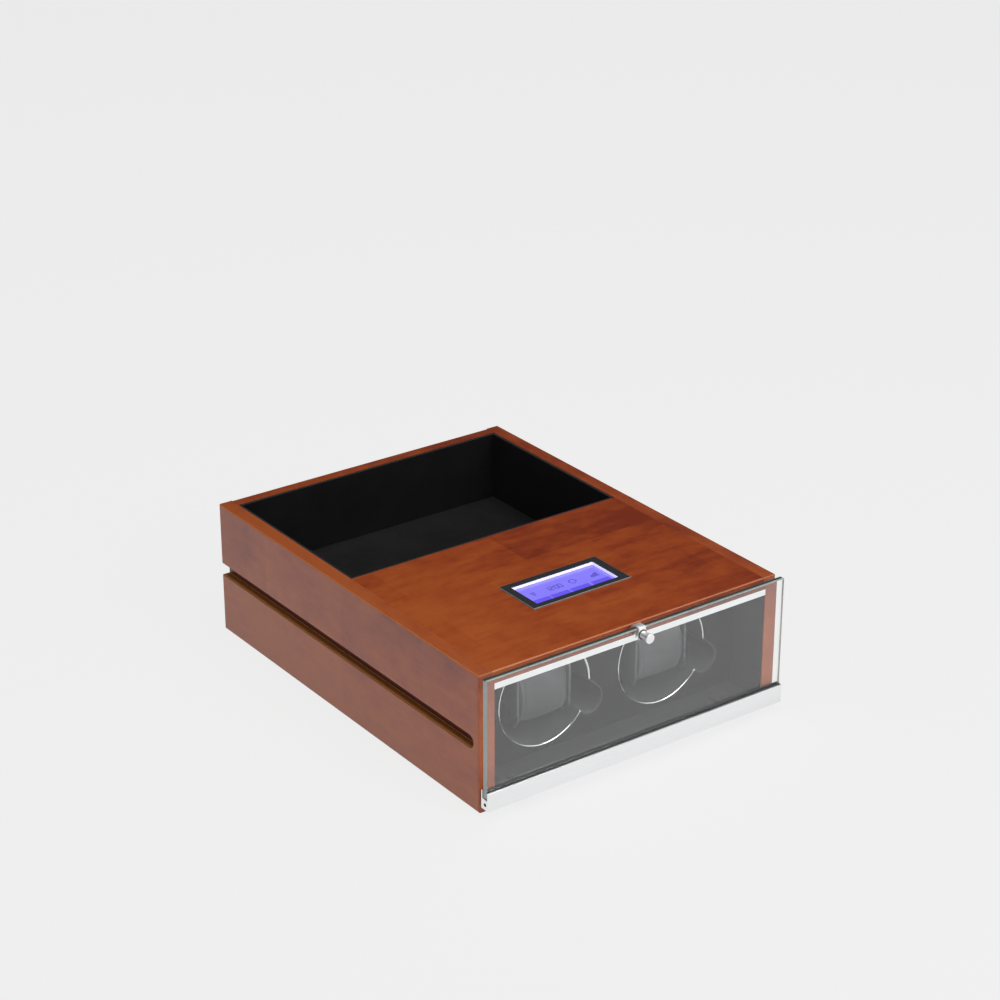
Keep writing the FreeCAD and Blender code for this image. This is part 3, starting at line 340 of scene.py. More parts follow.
def nap(name, colour, sheen):
    """Short nap with clumps, brushed patches and a soft sheen, and the clumps for its relief."""
    finish = Finish(name, {"Sheen Weight": sheen, "Sheen Roughness": 0.45, "Specular IOR Level": 0.05,
                           "Sheen Tint": rgba(colours().sheen)})
    clump = finish.noise(1100.0, 2.0)
    brush = finish.noise(22.0, 4.0, 0.6)
    pile = 0.35 * clump + 0.65 * brush
    finish.set("Base Color", finish.varied(pile.over(0.3, 0.7), colour, 0.7, 1.3))
    finish.set("Roughness", 0.86 + 0.12 * clump)
    return finish, clump


# Stained wood: what each pattern adds to the tone, where the ramp's colours lie, and how the tone
# falls off towards the right of the box and rises towards the foot of its sides
STAIN_SHARES = {"cloud": 0.85, "mottle": 0.70, "streak": 0.40, "staves": 0.30, "figure": 0.50}
STAIN_STOPS = (0.22, 0.50, 0.78)
RIGHT_FALL = 0.15
FOOT_RISE = 0.35
FINE_GRAIN = 0.035

# Painted highlight along the arrises, measured in from the outer faces
HIGHLIGHT_FROM = 1.2 * MM
HIGHLIGHT_TO = 0.3 * MM

# Runner grooves: levels of floor and ceiling, closed end behind the front, and the band outside these
# in which the painted light and shade of the grooves fade
GROOVE_LOW = 53.0 * MM
GROOVE_HIGH = 65.0 * MM
GROOVE_END = 7.0 * MM
FADE_NEAR = 0.1 * MM
FADE_FAR = 0.5 * MM


def staves(finish, run):
    """Tone of each stave that a panel is glued up from."""
    turn = {"x": 0.0, "y": math.pi / 2}[run]
    return finish.node("TexBrick", {"offset": 0.43, "squash": 1.0}, {
        "Vector": finish.stretched((1.0, 1.0, 1.0), (0.0, 0.0, turn)), "Color1": rgba(BLACK),
        "Color2": rgba(WHITE), "Mortar": rgba(MID_GREY), "Scale": 1.0, "Mortar Size": 0.0, "Bias": 0.0,
        "Brick Width": sizes().stave_length, "Row Height": sizes().stave_width})


def in_groove(x, y, z):
    """1 inside a runner groove, 0 elsewhere on a side panel."""
    sunk = 1.0 - abs(x).over(HALF - 0.8 * MM, HALF - 0.3 * MM)
    behind = y.over(GROOVE_END - FRONT - 1.0 * MM, GROOVE_END - FRONT)
    above = z.over(GROOVE_LOW - FADE_FAR, GROOVE_LOW - FADE_NEAR)
    below = 1.0 - z.over(GROOVE_HIGH + FADE_NEAR, GROOVE_HIGH + FADE_FAR)
    return sunk * behind * above * below


def stained_wood(name, run, tone, gloss=0.5):
    """Stained and lacquered wood whose grain runs along one axis."""
    look = colours()
    finish = Finish(name, {"Coat Weight": 0.3 * gloss, "Coat Roughness": 0.18, "Coat IOR": 1.5,
                           "Specular IOR Level": gloss})
    x, y, z = finish.spot()
    patterns = {
        "cloud": finish.noise(21.0, 3.0, 0.55, finish.along(run, 0.5)),
        "mottle": finish.noise(75.0, 6.0, 0.7, finish.along(run, 0.6)),
        "streak": finish.noise(900.0, 4.0, 0.65, finish.along(run, FINE_GRAIN)),
        "staves": staves(finish, run),
        "figure": finish.noise(120.0, 6.0, 0.68, finish.along(run, 0.16)),
    }
    value = tone
    for pattern, share in STAIN_SHARES.items():
        value = value + share * (patterns[pattern] - 0.5)
    value = value - RIGHT_FALL * (x / HALF)
    if run == "y":
        upright = 1.0 - z.over(TOP - 2.0 * MM, TOP - 1.0 * MM)
        value = value + upright * (RIGHT_FALL * (x / HALF) + FOOT_RISE * (0.5 - z / TOP))
    ramp = list(zip(STAIN_STOPS, (look.stain_dark, look.stain, look.stain_light)))
    body = finish.node("ValToRGB", {"stops": ramp}, {"Fac": value})
    pore = finish.noise(1500.0, 2.0, 0.5, finish.along(run, FINE_GRAIN)).over(0.60, 0.72)
    rim_x = abs(x).over(HALF - HIGHLIGHT_FROM, HALF - HIGHLIGHT_TO)
    rim_z = z.over(TOP - HIGHLIGHT_FROM, TOP - HIGHLIGHT_TO)
    rim_y = (0.0 - y).over(FRONT - HIGHLIGHT_FROM, FRONT - HIGHLIGHT_TO)
    arris_light = (rim_x * rim_z).most(rim_y * rim_z)
    body = finish.mix(0.28 * pore, body, rgba(shade(look.stain_dark, 0.6)))
    # Painted highlight along the arrises of the case
    body = finish.mix(0.75 * arris_light, body, rgba(look.arris_highlight))
    if run == "y":
        inside = in_groove(x, y, z)
        # Painted shade on the grooves' walls and ceiling, and painted light on their floor
        groove_shade = z.over(GROOVE_LOW + 0.1 * MM, GROOVE_LOW + 0.6 * MM)
        body = finish.mix(inside * groove_shade, body, rgba(shade(look.stain_dark, 0.45)))
        body = finish.mix(inside * (1.0 - groove_shade), body, rgba(look.groove))
    finish.set("Base Color", body)
    finish.set("Roughness", 0.34 + 0.10 * patterns["figure"] - 0.05 * arris_light)
    return finish.bump(patterns["streak"] * 0.6 + pore * -0.4, 0.03 * MM, 0.5).material


def bare_board(name, colour, run):
    """Plain board with open grain."""
    finish = Finish(name, {})
    grain = finish.noise(240.0, 5.0, 0.6, finish.along(run, 0.06))
    ring = finish.noise(30.0, 3.0, 0.5, finish.along(run, 0.3))
    mixed = 0.6 * grain + 0.4 * ring
    finish.set("Base Color", finish.varied(mixed.over(0.3, 0.7), colour, 0.72, 1.18))
    finish.set("Roughness", 0.60 + 0.2 * grain)
    return finish.bump(grain, 0.06 * MM, 0.6).material


def lit(name, colour, strength, grid):
    """Lit panel with a faint dot pattern and a soft haze."""
    finish = Finish(name, {"Roughness": 0.18, "Emission Strength": strength,
                           "Base Color": rgba(shade(colour, 0.12))})
    dots = finish.node("TexVoronoi", {"feature": "F1"},
                       {"Vector": finish.place, "Scale": grid, "Randomness": 0.0})
    haze = finish.noise(45.0, 2.0)
    brightness = (0.35 * dots + 0.65 * haze).over(0.2, 0.8)
    return finish.set("Emission Color", finish.varied(brightness, colour, 1.05, 0.93)).material


def paint(material, *names):
    """Gives CAD nodes a finish."""
    for name in names:
        node = NODES[name]
        if not node.material_slots:
            node.data.materials.append(None)
        for slot in node.material_slots:
            slot.material = material


def both(piece):
    """Names of the left and the right one of a pair of nodes."""
    return [f"{side}_{piece}" for side in SIDES]


def clear():
    """Leaves edit mode and deselects everything."""
    if bpy.context.object and bpy.context.object.mode != "OBJECT":
        bpy.ops.object.mode_set(mode="OBJECT")
    bpy.ops.object.select_all(action="DESELECT")


def only(piece):
    """Makes a piece the one that is selected and active."""
    clear()
    piece.select_set(True)
    bpy.context.view_layer.objects.active = piece


def named(name):
    """Names the active object and its data."""
    piece = bpy.context.object
    piece.name = name
    piece.data.name = name
    return piece


def settle(piece):
    """Puts a piece's place into its mesh."""
    only(piece)
    bpy.ops.object.transform_apply(location=True, rotation=True, scale=True)
    return piece


def finish_with(piece, kind, **settings):
    """Adds a modifier and applies it."""
    only(piece)
    modifier = piece.modifiers.new(kind.title(), kind)
    for setting, value in settings.items():
        setattr(modifier, setting, value)
    bpy.ops.object.modifier_apply(modifier=modifier.name)


def copy_of(node, name):
    """Copy of a CAD node's mesh, with its loose triangles merged and its flat faces made whole."""
    clear()
    piece = bpy.data.objects.new(name, NODES[node].data.copy())
    bpy.context.scene.collection.objects.link(piece)
    piece.data.materials.clear()
    only(piece)
    if piece.data.has_custom_normals:
        bpy.ops.mesh.customdata_custom_splitnormals_clear()
    bpy.ops.object.mode_set(mode="EDIT")
    bpy.ops.mesh.select_all(action="SELECT")
    bpy.ops.mesh.remove_doubles(threshold=WELD)
    bpy.ops.mesh.dissolve_limited(angle_limit=FLAT_ANGLE)
    bpy.ops.mesh.normals_make_consistent(inside=False)
    bpy.ops.object.mode_set(mode="OBJECT")
    piece.data.name = name
    return piece


def softened(piece, width, segments=2):
    """Rounds a piece's sharp edges and shades it."""
    finish_with(piece, "BEVEL", width=width, segments=segments, limit_method="ANGLE",
                angle_limit=SHARP_ANGLE, harden_normals=False)
    only(piece)
    bpy.ops.object.shade_smooth_by_angle(angle=SMOOTH_ANGLE)
    return piece


def dished(ring, centre, width, depth):
    """Slopes the inner band of a ring's front face, so that its inner edge lies deeper."""
    front = min(vertex.co.y for vertex in ring.data.vertices)
    only(ring)
    bpy.ops.object.mode_set(mode="EDIT")
    bpy.ops.mesh.select_mode(type="FACE")
    bpy.ops.mesh.select_all(action="DESELECT")
    bpy.ops.object.mode_set(mode="OBJECT")
    for face in ring.data.polygons:
        face.select = face.normal.y < -SQUARE_ON and face.center.y < front + SKIN
    bpy.ops.object.mode_set(mode="EDIT")
    bpy.ops.mesh.inset(thickness=width)
    bpy.ops.mesh.select_mode(type="VERT")
    bpy.ops.mesh.select_all(action="DESELECT")
    bpy.ops.object.mode_set(mode="OBJECT")
    inner = set()
    for face in ring.data.polygons:
        if abs(face.normal.y) < EDGE_ON and face.normal.dot(face.center - centre) < 0:
            inner.update(face.vertices)
    for vertex in ring.data.vertices:
        vertex.select = vertex.index in inner and vertex.co.y < front + SKIN
    bpy.ops.object.mode_set(mode="EDIT")
    bpy.ops.transform.translate(value=(0.0, depth, 0.0))
    bpy.ops.object.mode_set(mode="OBJECT")
    return ring


def two_finishes(piece, first, second, is_second):
    """Gives a piece two finishes, and the second one to the faces that a test names."""
    piece.data.materials.append(first)
    piece.data.materials.append(second)
    for face in piece.data.polygons:
        face.material_index = 1 if is_second(face) else 0


def stand_in(piece, node, body, material):
    """Lets a dressed piece stand for a CAD node."""
    if not piece.data.materials:
        piece.data.materials.append(material)
    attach(piece, body)
    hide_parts(node)


def merged(name, pieces):
    """Joins pieces into one."""
    clear()
    for piece in pieces:
        piece.select_set(True)
    bpy.context.view_layer.objects.active = pieces[0]
    bpy.ops.object.join()
    return named(name)


class WINDER_OT_case(bpy.types.Operator):
    """Stained wood on the case, bare board and dowels inside it"""
    bl_idname = "winder.case"
    bl_label = "Wooden case"

    def execute(self, context):
        board = colours().board
        paint(stained_wood("side_stain", "y", tone=0.59, gloss=0.58), *both("side_panel"))
        paint(stained_wood("deck_stain", "x", tone=0.48, gloss=0.32), "top_deck")
        paint(stained_wood("back_stain", "x", tone=0.52), "back_panel")
        paint(bare_board("inner_board", board, "x"), "bulkhead", "tray_base_board", "bottom_panel")
        paint(bare_board("dowel_wood", shade(board, 1.5), "x"), "case_dowels")
        return {"FINISHED"}


class WINDER_OT_linings(bpy.types.Operator):
    """Black nap in the tray, and matt cards round the front compartment"""
    bl_idname = "winder.linings"
    bl_label = "Linings"

    tray_sheen = 0.05

    def execute(self, context):
        look = colours()
        finish, clump = nap("tray_nap", look.lining, self.tray_sheen)
        # Painted highlight along the liner's top edge
        rim = finish.spot()[2].over(TOP - 1.0 * MM, TOP - 0.5 * MM)
        cloth = Signal(finish, finish.shader.inputs["Base Color"].links[0].from_socket)
        finish.set("Base Color", finish.mix(rim, cloth, rgba(look.liner_rim_highlight)))
        paint(finish.bump(clump, 0.12 * MM).material, "tray_liner")
        # Painted light: the floor's nap is paler than the walls' nap
        finish, clump = nap("tray_floor_nap", look.tray_floor, self.tray_sheen)
        paint(finish.bump(clump, 0.14 * MM).material, "tray_floor_pad")
        # The cards are the fascia's black, lightened at the sides as painted light and darkened on the
        # floor as painted shade
        for name, share, node in (("side_card", 1.35, "side_linings"), ("floor_card", 0.6, "floor_lining")):
            paint(moulded(name, shade(look.fascia, share), 0.9, grit=500.0, depth=0.002 * MM), node)
        return {"FINISHED"}


class WINDER_OT_fascia(bpy.types.Operator):
    """Matt fascia and wells, and polished rings round the openings"""
    bl_idname = "winder.fascia"
    bl_label = "Fascia and rings"

    def execute(self, context):
        look = colours()
        dull = {"Specular IOR Level": 0.15}
        fascia = moulded("fascia_black", look.fascia, 0.7, grit=1400.0, depth=0.03 * MM, constants=dull)
        paint(fascia, "fascia")
        # Painted light: the wells' black is lighter than the fascia's, against the shade in them
        well = moulded("well_black", look.well, 0.8, grit=1100.0, depth=0.02 * MM)
        paint(well, *both("well"))
        chrome = polished("ring_chrome", shade(look.chrome, 1.1), 0.10)
        for side in SIDES:
            self.ring(side, chrome, well)
        return {"FINISHED"}

    def ring(self, side, chrome, well):
        """One ring, polished where it stands proud of the fascia and as dull as the well elsewhere."""
        node = f"{side}_trim_ring"
        low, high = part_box(node)
        radius = (high.z - low.z) / 2
        centre = Vector((low.x + radius, low.y, low.z + radius))
        fascia_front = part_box("fascia")[0].y

        def is_sleeve(face):
            off = math.hypot(face.center.x - centre.x, face.center.z - centre.z)
            return face.center.y >= fascia_front or off >= radius + SKIN

        ring = copy_of(node, f"{side}_polished_ring")
        softened(dished(ring, centre, sizes().ring_band, sizes().ring_slope), 0.6 * sizes().arris)
        two_finishes(ring, chrome, well, is_sleeve)
        stand_in(ring, node, "case", None)


class WINDER_OT_rotors(bpy.types.Operator):
    """Moulded turntables and cuff cores with eased edges"""
    bl_idname = "winder.rotors"
    bl_label = "Turntables and cuffs"

    def execute(self, context):
        look = colours()
        # Painted light: the turntables share the wells' lightened black
        paint(moulded("turntable_black", look.well, 0.6), *both("turntable"))
        core = moulded("cuff_black", shade(look.pad, 0.8), 0.28, grit=1200.0, depth=0.01 * MM)
        for side in SIDES:
            cuff = softened(copy_of(f"{side}_cuff_core", f"{side}_cuff_shell"), 2 * sizes().arris)
            stand_in(cuff, f"{side}_cuff_core", f"{side}_cuff", core)
        return {"FINISHED"}


# Pads: frames in which the cloth swells, and the share of its solid that a pad starts from
SWELL_STEPS = 20
PAD_SHRINK = 0.95


def swelled(piece):
    """Lets pressure swell the cloth of a closed piece, with a cap on how far it moves."""
    rest = [vertex.co.copy() for vertex in piece.data.vertices]
    only(piece)
    cloth = piece.modifiers.new("Cloth", "CLOTH")
    cloth.settings.use_pressure = True
    cloth.settings.uniform_pressure_force = sizes().pad_pressure
    cloth.settings.effector_weights.gravity = 0.0
    cloth.point_cache.frame_start = 1
    cloth.point_cache.frame_end = SWELL_STEPS
    for step in range(1, SWELL_STEPS + 1):
        bpy.context.scene.frame_set(step)
    bpy.ops.object.modifier_apply(modifier=cloth.name)
    bpy.context.scene.frame_set(1)
    cap = sizes().pad_cap
    for vertex, start in zip(piece.data.vertices, rest):
        move = vertex.co - start
        if move.length > cap:
            vertex.co = start + move * (cap / move.length)


def pad_cloth():
    """Dark grey suede: short fibres, brushed patches and a fine weave."""
    finish, clump = nap("pad_suede", colours().pad, 0.18)
    weave = finish.noise(2600.0, 2.0)
    return finish.bump(0.6 * clump + 0.4 * weave, 0.10 * MM).material


class WINDER_OT_pads(bpy.types.Operator):
    """Soft watch pads whose cloth is swelled by pressure"""
    bl_idname = "winder.pads"
    bl_label = "Watch pads"

    def execute(self, context):
        cloth = pad_cloth()
        for side in SIDES:
            node = f"{side}_cuff_pad"
            low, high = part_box(node)
            middle = (low + high) / 2
            pad = copy_of(node, f"{side}_soft_pad")
            for vertex in pad.data.vertices:
                vertex.co = middle + (vertex.co - middle) * PAD_SHRINK
            finish_with(pad, "REMESH", mode="VOXEL", voxel_size=sizes().pad_voxel)
            swelled(pad)
            finish_with(pad, "SUBSURF", levels=1, render_levels=1)
            self.sew(pad, low, high, middle)
            only(pad)
            bpy.ops.object.shade_smooth()
            stand_in(pad, node, f"{side}_cuff", cloth)
        return {"FINISHED"}

    def sew(self, pad, low, high, middle):
        """Draws a seam in near both ends and keeps the pad inside its solid's room."""
        seam = (high.x - low.x) / 2 - sizes().seam_inset
        for vertex in pad.data.vertices:
            offset = abs(vertex.co.x - middle.x) - seam
            draw = sizes().seam_depth * math.exp(-(offset / sizes().seam_width) ** 2)
            outward = Vector((0.0, vertex.co.y - middle.y, vertex.co.z - middle.z))
            if outward.length > 0:
                vertex.co -= outward.normalized() * draw
            for axis in range(3):
                vertex.co[axis] = min(max(vertex.co[axis], low[axis]), high[axis])


class WINDER_OT_drive(bpy.types.Operator):
    """Shafts, pulleys, belts, motors and their sheet metal"""
    bl_idname = "winder.drive"
    bl_label = "Belt drive"

    def execute(self, context):
        look = colours()
        paint(brushed("plated_steel", look.steel, 0.34, "x"), "drive_plate", "motor_bracket", "foot_screws",
              "motor_screws", *both("gear_motor"))
        paint(brushed("turned_steel", shade(look.steel, 1.2), 0.22, "y"), *both("rotor_shaft"))
        paint(brushed("turned_brass", look.brass, 0.26, "y"), *both("shaft_bush"))
        paint(moulded("pulley_resin", look.resin, 0.45), *both("driven_pulley"), *both("motor_pulley"),
              "board_standoffs")
        paint(moulded("belt_rubber", look.belt, 0.75, grit=2000.0), *both("drive_belt"))
        return {"FINISHED"}


# Thickness of the display's figures and their lift off the panel
INK = 0.06 * MM
INK_LIFT = 0.02 * MM

# How fine the dots of the lit panels are
DISPLAY_GRID = 1500.0
OPAL_GRID = 700.0

# Tiles along the display's front, in millimetres from its middle: the row, then middle and width of each
TILE_ROW = -12.3
TILE_DEPTH = 10.6
TILE_CORNER = 0.5
TILES = ((-31.8, 19.4), (-11.8, 18.4), (8.4, 19.2), (29.8, 18.6))

# Figures in millimetres from the display's middle, and the bars that each of them is made of
FIGURE_ROW = 2.6
FIGURE_START = -16.2
FIGURE_STEP = 4.1
COLON = -9.6
COLON_GAP = 0.8
COLON_DOTS = (-1.3, 1.3)
BARS = {"a": (0, 1), "b": (1, 0.5), "c": (1, -0.5), "d": (0, -1), "e": (-1, -0.5), "f": (-1, 0.5),
        "g": (0, 0)}
FIGURES = {"0": "abcdef", "1": "bc", "2": "abged"}
FIGURE_TEXT = "1200"

# Round sign: middle and radius in millimetres, share of the radius that is open, gap in radians
TURN_MIDDLE = (9.6, FIGURE_ROW)
TURN_RADIUS = 3.6
TURN_OPEN = 0.76
TURN_GAP = (-0.9, -0.1)
ARROW_MIDDLE = (12.8, 2.3)
ARROW_RADIUS = 1.5

# Rising bars at the display's right and stacked bars at its left, in millimetres
LEVEL_START = 28.0
LEVEL_STEP = 2.0
LEVEL_FOOT = 0.1
LEVEL_WIDTH = 1.4
LEVEL_HEIGHTS = (2.2, 3.3, 4.4, 5.5)
LEVEL_CORNER = 0.2
BASE_MIDDLE = (31.0, -0.6)
BASE_WIDTH = 8.4
BASE_DEPTH = 0.8
STACK_MIDDLE = -30.2
STACK_ROWS = (4.8, 2.7, 0.6)
STACK_WIDTHS = (4.6, 3.7, 2.8)
STACK_DEPTH = 1.1
STACK_CORNER = 0.3


def thickened(piece):
    """Gives a flat piece of the display its thickness."""
    only(piece)
    bpy.ops.object.mode_set(mode="EDIT")
    bpy.ops.mesh.select_all(action="SELECT")
    bpy.ops.mesh.extrude_region_move(TRANSFORM_OT_translate={"value": (0.0, 0.0, INK)})
    bpy.ops.mesh.select_all(action="SELECT")
    bpy.ops.mesh.normals_make_consistent(inside=False)
    bpy.ops.object.mode_set(mode="OBJECT")
    return piece


def plate(name, centre, width, depth, corner):
    """Thin plate with rounded corners, flat on the display."""
    clear()
    bpy.ops.mesh.primitive_plane_add(size=1.0, location=centre)
    piece = named(name)
    piece.scale = (width, depth, 1.0)
    settle(piece)
    bpy.ops.object.mode_set(mode="EDIT")
    bpy.ops.mesh.select_all(action="SELECT")
    bpy.ops.mesh.bevel(offset=corner, segments=3, affect="VERTICES")
    return thickened(piece)


class WINDER_OT_display(bpy.types.Operator):
    """Bezel, white frame, lit panel and plain figures"""
    bl_idname = "winder.display"
    bl_label = "Display"

    def execute(self, context):
        look = colours()
        paint(self.bezel(), "display_bezel")
        # The white frame glows: partly the panel's backlight, partly painted light that brightens it
        glow = {"Emission Color": rgba(WHITE), "Emission Strength": sizes().frame_glow}
        paint(moulded("frame_white", look.display_frame, 0.5, vary=0.03, constants=glow), "display_frame")
        paint(lit("display_ground", look.lcd, sizes().glow, DISPLAY_GRID), "display_panel")
        paint(moulded("board_green", look.circuit, 0.35), "display_board", "light_strip", "driver_board")
        low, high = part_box("display_panel")
        self.centre = Vector(((low.x + high.x) / 2, (low.y + high.y) / 2, high.z + INK_LIFT))
        tiles = [plate("tile", self.at(x, TILE_ROW), width * MM, TILE_DEPTH * MM, TILE_CORNER * MM)
                 for x, width in TILES]
        self.dress(merged("display_tiles", tiles), look.lcd_tile)
        figures = self.figures() + self.turn_sign() + self.level_sign() + self.stack_sign()
        self.dress(merged("display_figures", figures), look.lcd_figure)
        return {"FINISHED"}

    def bezel(self):
        """Satin black with a painted highlight along its outer edge."""
        look = colours()
        low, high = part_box("display_bezel")
        middle = (low + high) / 2
        reach = high - middle
        finish = Finish("bezel_black", {"Roughness": 0.34})
        x, y = finish.spot()[:2]
        highlight_width = 0.7 * MM
        # Painted highlight along the bezel's outer edge
        rim_x = abs(x - middle.x).over(reach.x - highlight_width, reach.x - highlight_width / 3)
        rim_y = abs(y - middle.y).over(reach.y - highlight_width, reach.y - highlight_width / 3)
        grain = finish.noise(700.0, 3.0)
        body = finish.varied(grain, look.bezel, 0.9, 1.1)
        finish.set("Base Color", finish.mix(0.7 * rim_x.most(rim_y), body, rgba(look.bezel_highlight)))
        return finish.bump(grain, 0.01 * MM).material

    def at(self, x, y):
        """Place on the display, from millimetres off its middle."""
        return self.centre + Vector((x * MM, y * MM, 0.0))

    def dress(self, piece, colour):
        """Lights a finished piece of the display in its colour."""
        piece.data.materials.clear()
        piece.data.materials.append(lit(piece.name + "_ink", colour, sizes().glow, DISPLAY_GRID))
        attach(piece, "case")

    def figures(self):
        """Seven-bar figures in a row, with a colon between the pairs."""
        made = []
        half = sizes().figure_height / 2
        stroke = sizes().figure_stroke
        corner = 0.3 * stroke
        reach = 0.44 * half
        for number, figure in enumerate(FIGURE_TEXT):
            gap = COLON_GAP if number > 1 else 0.0
            start = self.at(FIGURE_START + FIGURE_STEP * number + gap, FIGURE_ROW)
            for bar in FIGURES[figure]:
                across, up = BARS[bar]
                spot = start + Vector((across * reach, up * half, 0.0))
                width, depth = (1.7 * reach, stroke) if across == 0 else (stroke, 0.86 * half)
                made.append(plate("bar", spot, width, depth, corner))
        for dot in COLON_DOTS:
            made.append(plate("dot", self.at(COLON, FIGURE_ROW + dot), stroke, stroke, corner))
        return made

    def turn_sign(self):
        """Open ring with an arrowhead, for the turning way."""
        clear()
        centre = self.at(*TURN_MIDDLE)
        bpy.ops.mesh.primitive_circle_add(vertices=sizes().ring_steps, radius=TURN_RADIUS * MM,
                                          location=centre)
        ring = settle(named("ring"))
        bpy.ops.object.mode_set(mode="EDIT")
        bpy.ops.mesh.select_all(action="SELECT")
        bpy.ops.mesh.extrude_edges_move()
        bpy.ops.transform.resize(value=(TURN_OPEN, TURN_OPEN, 1.0), center_override=centre)
        bpy.ops.mesh.select_all(action="DESELECT")
        bpy.ops.object.mode_set(mode="OBJECT")
        for face in ring.data.polygons:
            way = face.center - centre
            face.select = TURN_GAP[0] < math.atan2(way.y, way.x) < TURN_GAP[1]
        bpy.ops.object.mode_set(mode="EDIT")
        bpy.ops.mesh.select_mode(type="FACE")
        bpy.ops.mesh.delete(type="FACE")
        thickened(ring)
        clear()
        bpy.ops.mesh.primitive_circle_add(vertices=3, radius=ARROW_RADIUS * MM, fill_type="NGON",
                                          location=self.at(*ARROW_MIDDLE))
        return [ring, thickened(settle(named("head")))]

    def level_sign(self):
        """Rising bars over a base line, for the speed level."""
        corner = LEVEL_CORNER * MM
        bars = []
        for number, height in enumerate(LEVEL_HEIGHTS):
            spot = self.at(LEVEL_START + LEVEL_STEP * number, LEVEL_FOOT + height / 2)
            bars.append(plate("level", spot, LEVEL_WIDTH * MM, height * MM, corner))
        base = plate("level_base", self.at(*BASE_MIDDLE), BASE_WIDTH * MM, BASE_DEPTH * MM, corner)
        return [*bars, base]

    def stack_sign(self):
        """Small stacked bars at the panel's left."""
        return [plate("stack", self.at(STACK_MIDDLE, row), width * MM, STACK_DEPTH * MM, STACK_CORNER * MM)
                for row, width in zip(STACK_ROWS, STACK_WIDTHS)]


class WINDER_OT_light_bar(bpy.types.Operator):
    """Opal light bar under the deck's front edge"""
    bl_idname = "winder.light_bar"
    bl_label = "Light bar"

    def execute(self, context):
        look = colours()
        paint(lit("opal_light", look.opal, sizes().light_bar, OPAL_GRID), "light_diffuser")
        paint(brushed("light_case", shade(look.aluminium, 0.9), 0.35, "x"), "light_housing")
        return {"FINISHED"}


# Index of refraction: the pane mirrors its pale surroundings a little more than plain glass does
PANE_INDEX = 1.67
EDGE_INDEX = 1.5


def pane_glass():
    """Clear glass with faint smears, which lets lamps through."""
    look = colours()
    finish = Finish("float_glass", {"Transmission Weight": 1.0, "IOR": PANE_INDEX,
                                    "Base Color": rgba(look.pane)})
    smear = finish.noise(26.0, 4.0, 0.6)
    finish.set("Roughness", 0.012 * smear.over(0.5, 0.85))
    lamp_light = finish.node("LightPath", {}, {}, out="Is Shadow Ray")
    finish.blend(lamp_light, finish.node("BsdfTransparent", {}, {"Color": rgba(look.pane_shadow)}))
    return finish.material


def ground_edge():
    """Ground edge of the pane: pale green, with painted shade along the back of its top."""
    glass = colours().glass
    finish = Finish("ground_glass_edge", {"Transmission Weight": 0.45, "IOR": EDGE_INDEX})
    cloud = finish.noise(240.0, 3.0, 0.6, finish.stretched((0.1, 1.0, 0.1)))
    pale = finish.varied(cloud, glass, 0.85, 1.15)
    low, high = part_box("door_glass")
    middle = (low.y + high.y) / 2
    y, z = finish.spot()[1:]
    # Painted shade along the back half of the top edge, for the dark look into the glass
    edge_shade = y.over(middle - 1.3 * MM, middle) * z.over(high.z - 1.2 * MM, high.z - 0.7 * MM)
    finish.set("Base Color", finish.mix(0.95 * edge_shade, pale, rgba(shade(glass, 0.06))))
    return finish.set("Roughness", 0.20 + 0.2 * cloud).material


class WINDER_OT_door(bpy.types.Operator):
    """Glass pane, its channel, gasket and hinge"""
    bl_idname = "winder.door"
    bl_label = "Glass door"

    def execute(self, context):
        look = colours()
        self.pane()
        self.channel(look)
        paint(moulded("gasket_rubber", look.rubber, 0.7, grit=1800.0), "glass_gasket")
        paint(moulded("painted_steel", shade(look.fascia, 0.6), 0.7), "hinge_brackets", "hinge_screws")
        paint(brushed("pin_steel", look.steel, 0.3, "x"), "hinge_pins")
        return {"FINISHED"}

    def pane(self):
        """Clear faces between ground edges."""
        pane = copy_of("door_glass", "door_pane")
        finish_with(pane, "BEVEL", width=sizes().glass_arris, segments=1, limit_method="ANGLE",
                    angle_limit=SHARP_ANGLE)
        only(pane)
        bpy.ops.object.shade_flat()
        two_finishes(pane, pane_glass(), ground_edge(), lambda face: abs(face.normal.y) < SQUARE_ON)
        stand_in(pane, "door_glass", "door", None)

    def channel(self, look):
        """Bright channel with shade in the bores for the hinge pins."""
        low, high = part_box("hinge_pins")
        axis = (low + high) / 2
        radius = high.z - axis.z

        def is_bore(face):
            off = math.hypot(face.center.y - axis.y, face.center.z - axis.z)
            return off < radius + SKIN / 2 and abs(face.normal.x) < BORE_WALL

        channel = softened(copy_of("door_channel", "bright_channel"), sizes().arris)
        two_finishes(channel, brushed("bright_anodised", look.aluminium, 0.28, "x"),
                     moulded("bore_shade", look.bore, 0.8), is_bore)
        stand_in(channel, "door_channel", "door", None)


class WINDER_OT_knob(bpy.types.Operator):
    """Pull knob, its clip over the glass and the magnet behind it"""
    bl_idname = "winder.knob"
    bl_label = "Pull knob"

    def execute(self, context):
        look = colours()
        knob = softened(copy_of("door_knob", "pull_knob"), 0.5 * sizes().arris, segments=3)
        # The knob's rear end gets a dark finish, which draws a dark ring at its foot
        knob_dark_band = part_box("knob_clip")[0].y - sizes().knob_dark_band
        two_finishes(knob, brushed("knob_steel", look.chrome, 0.46, "y"),
                     moulded("washer_rubber", look.rubber, 0.6, grit=1800.0),
                     lambda face: face.center.y > knob_dark_band)
        stand_in(knob, "door_knob", "door", None)
        clip = softened(copy_of("knob_clip", "glass_clip"), sizes().arris)
        stand_in(clip, "knob_clip", "door", brushed("clip_steel", look.chrome, 0.42, "x"))
        paint(brushed("magnet_steel", look.steel, 0.3, "y"), "door_magnet")
        return {"FINISHED"}


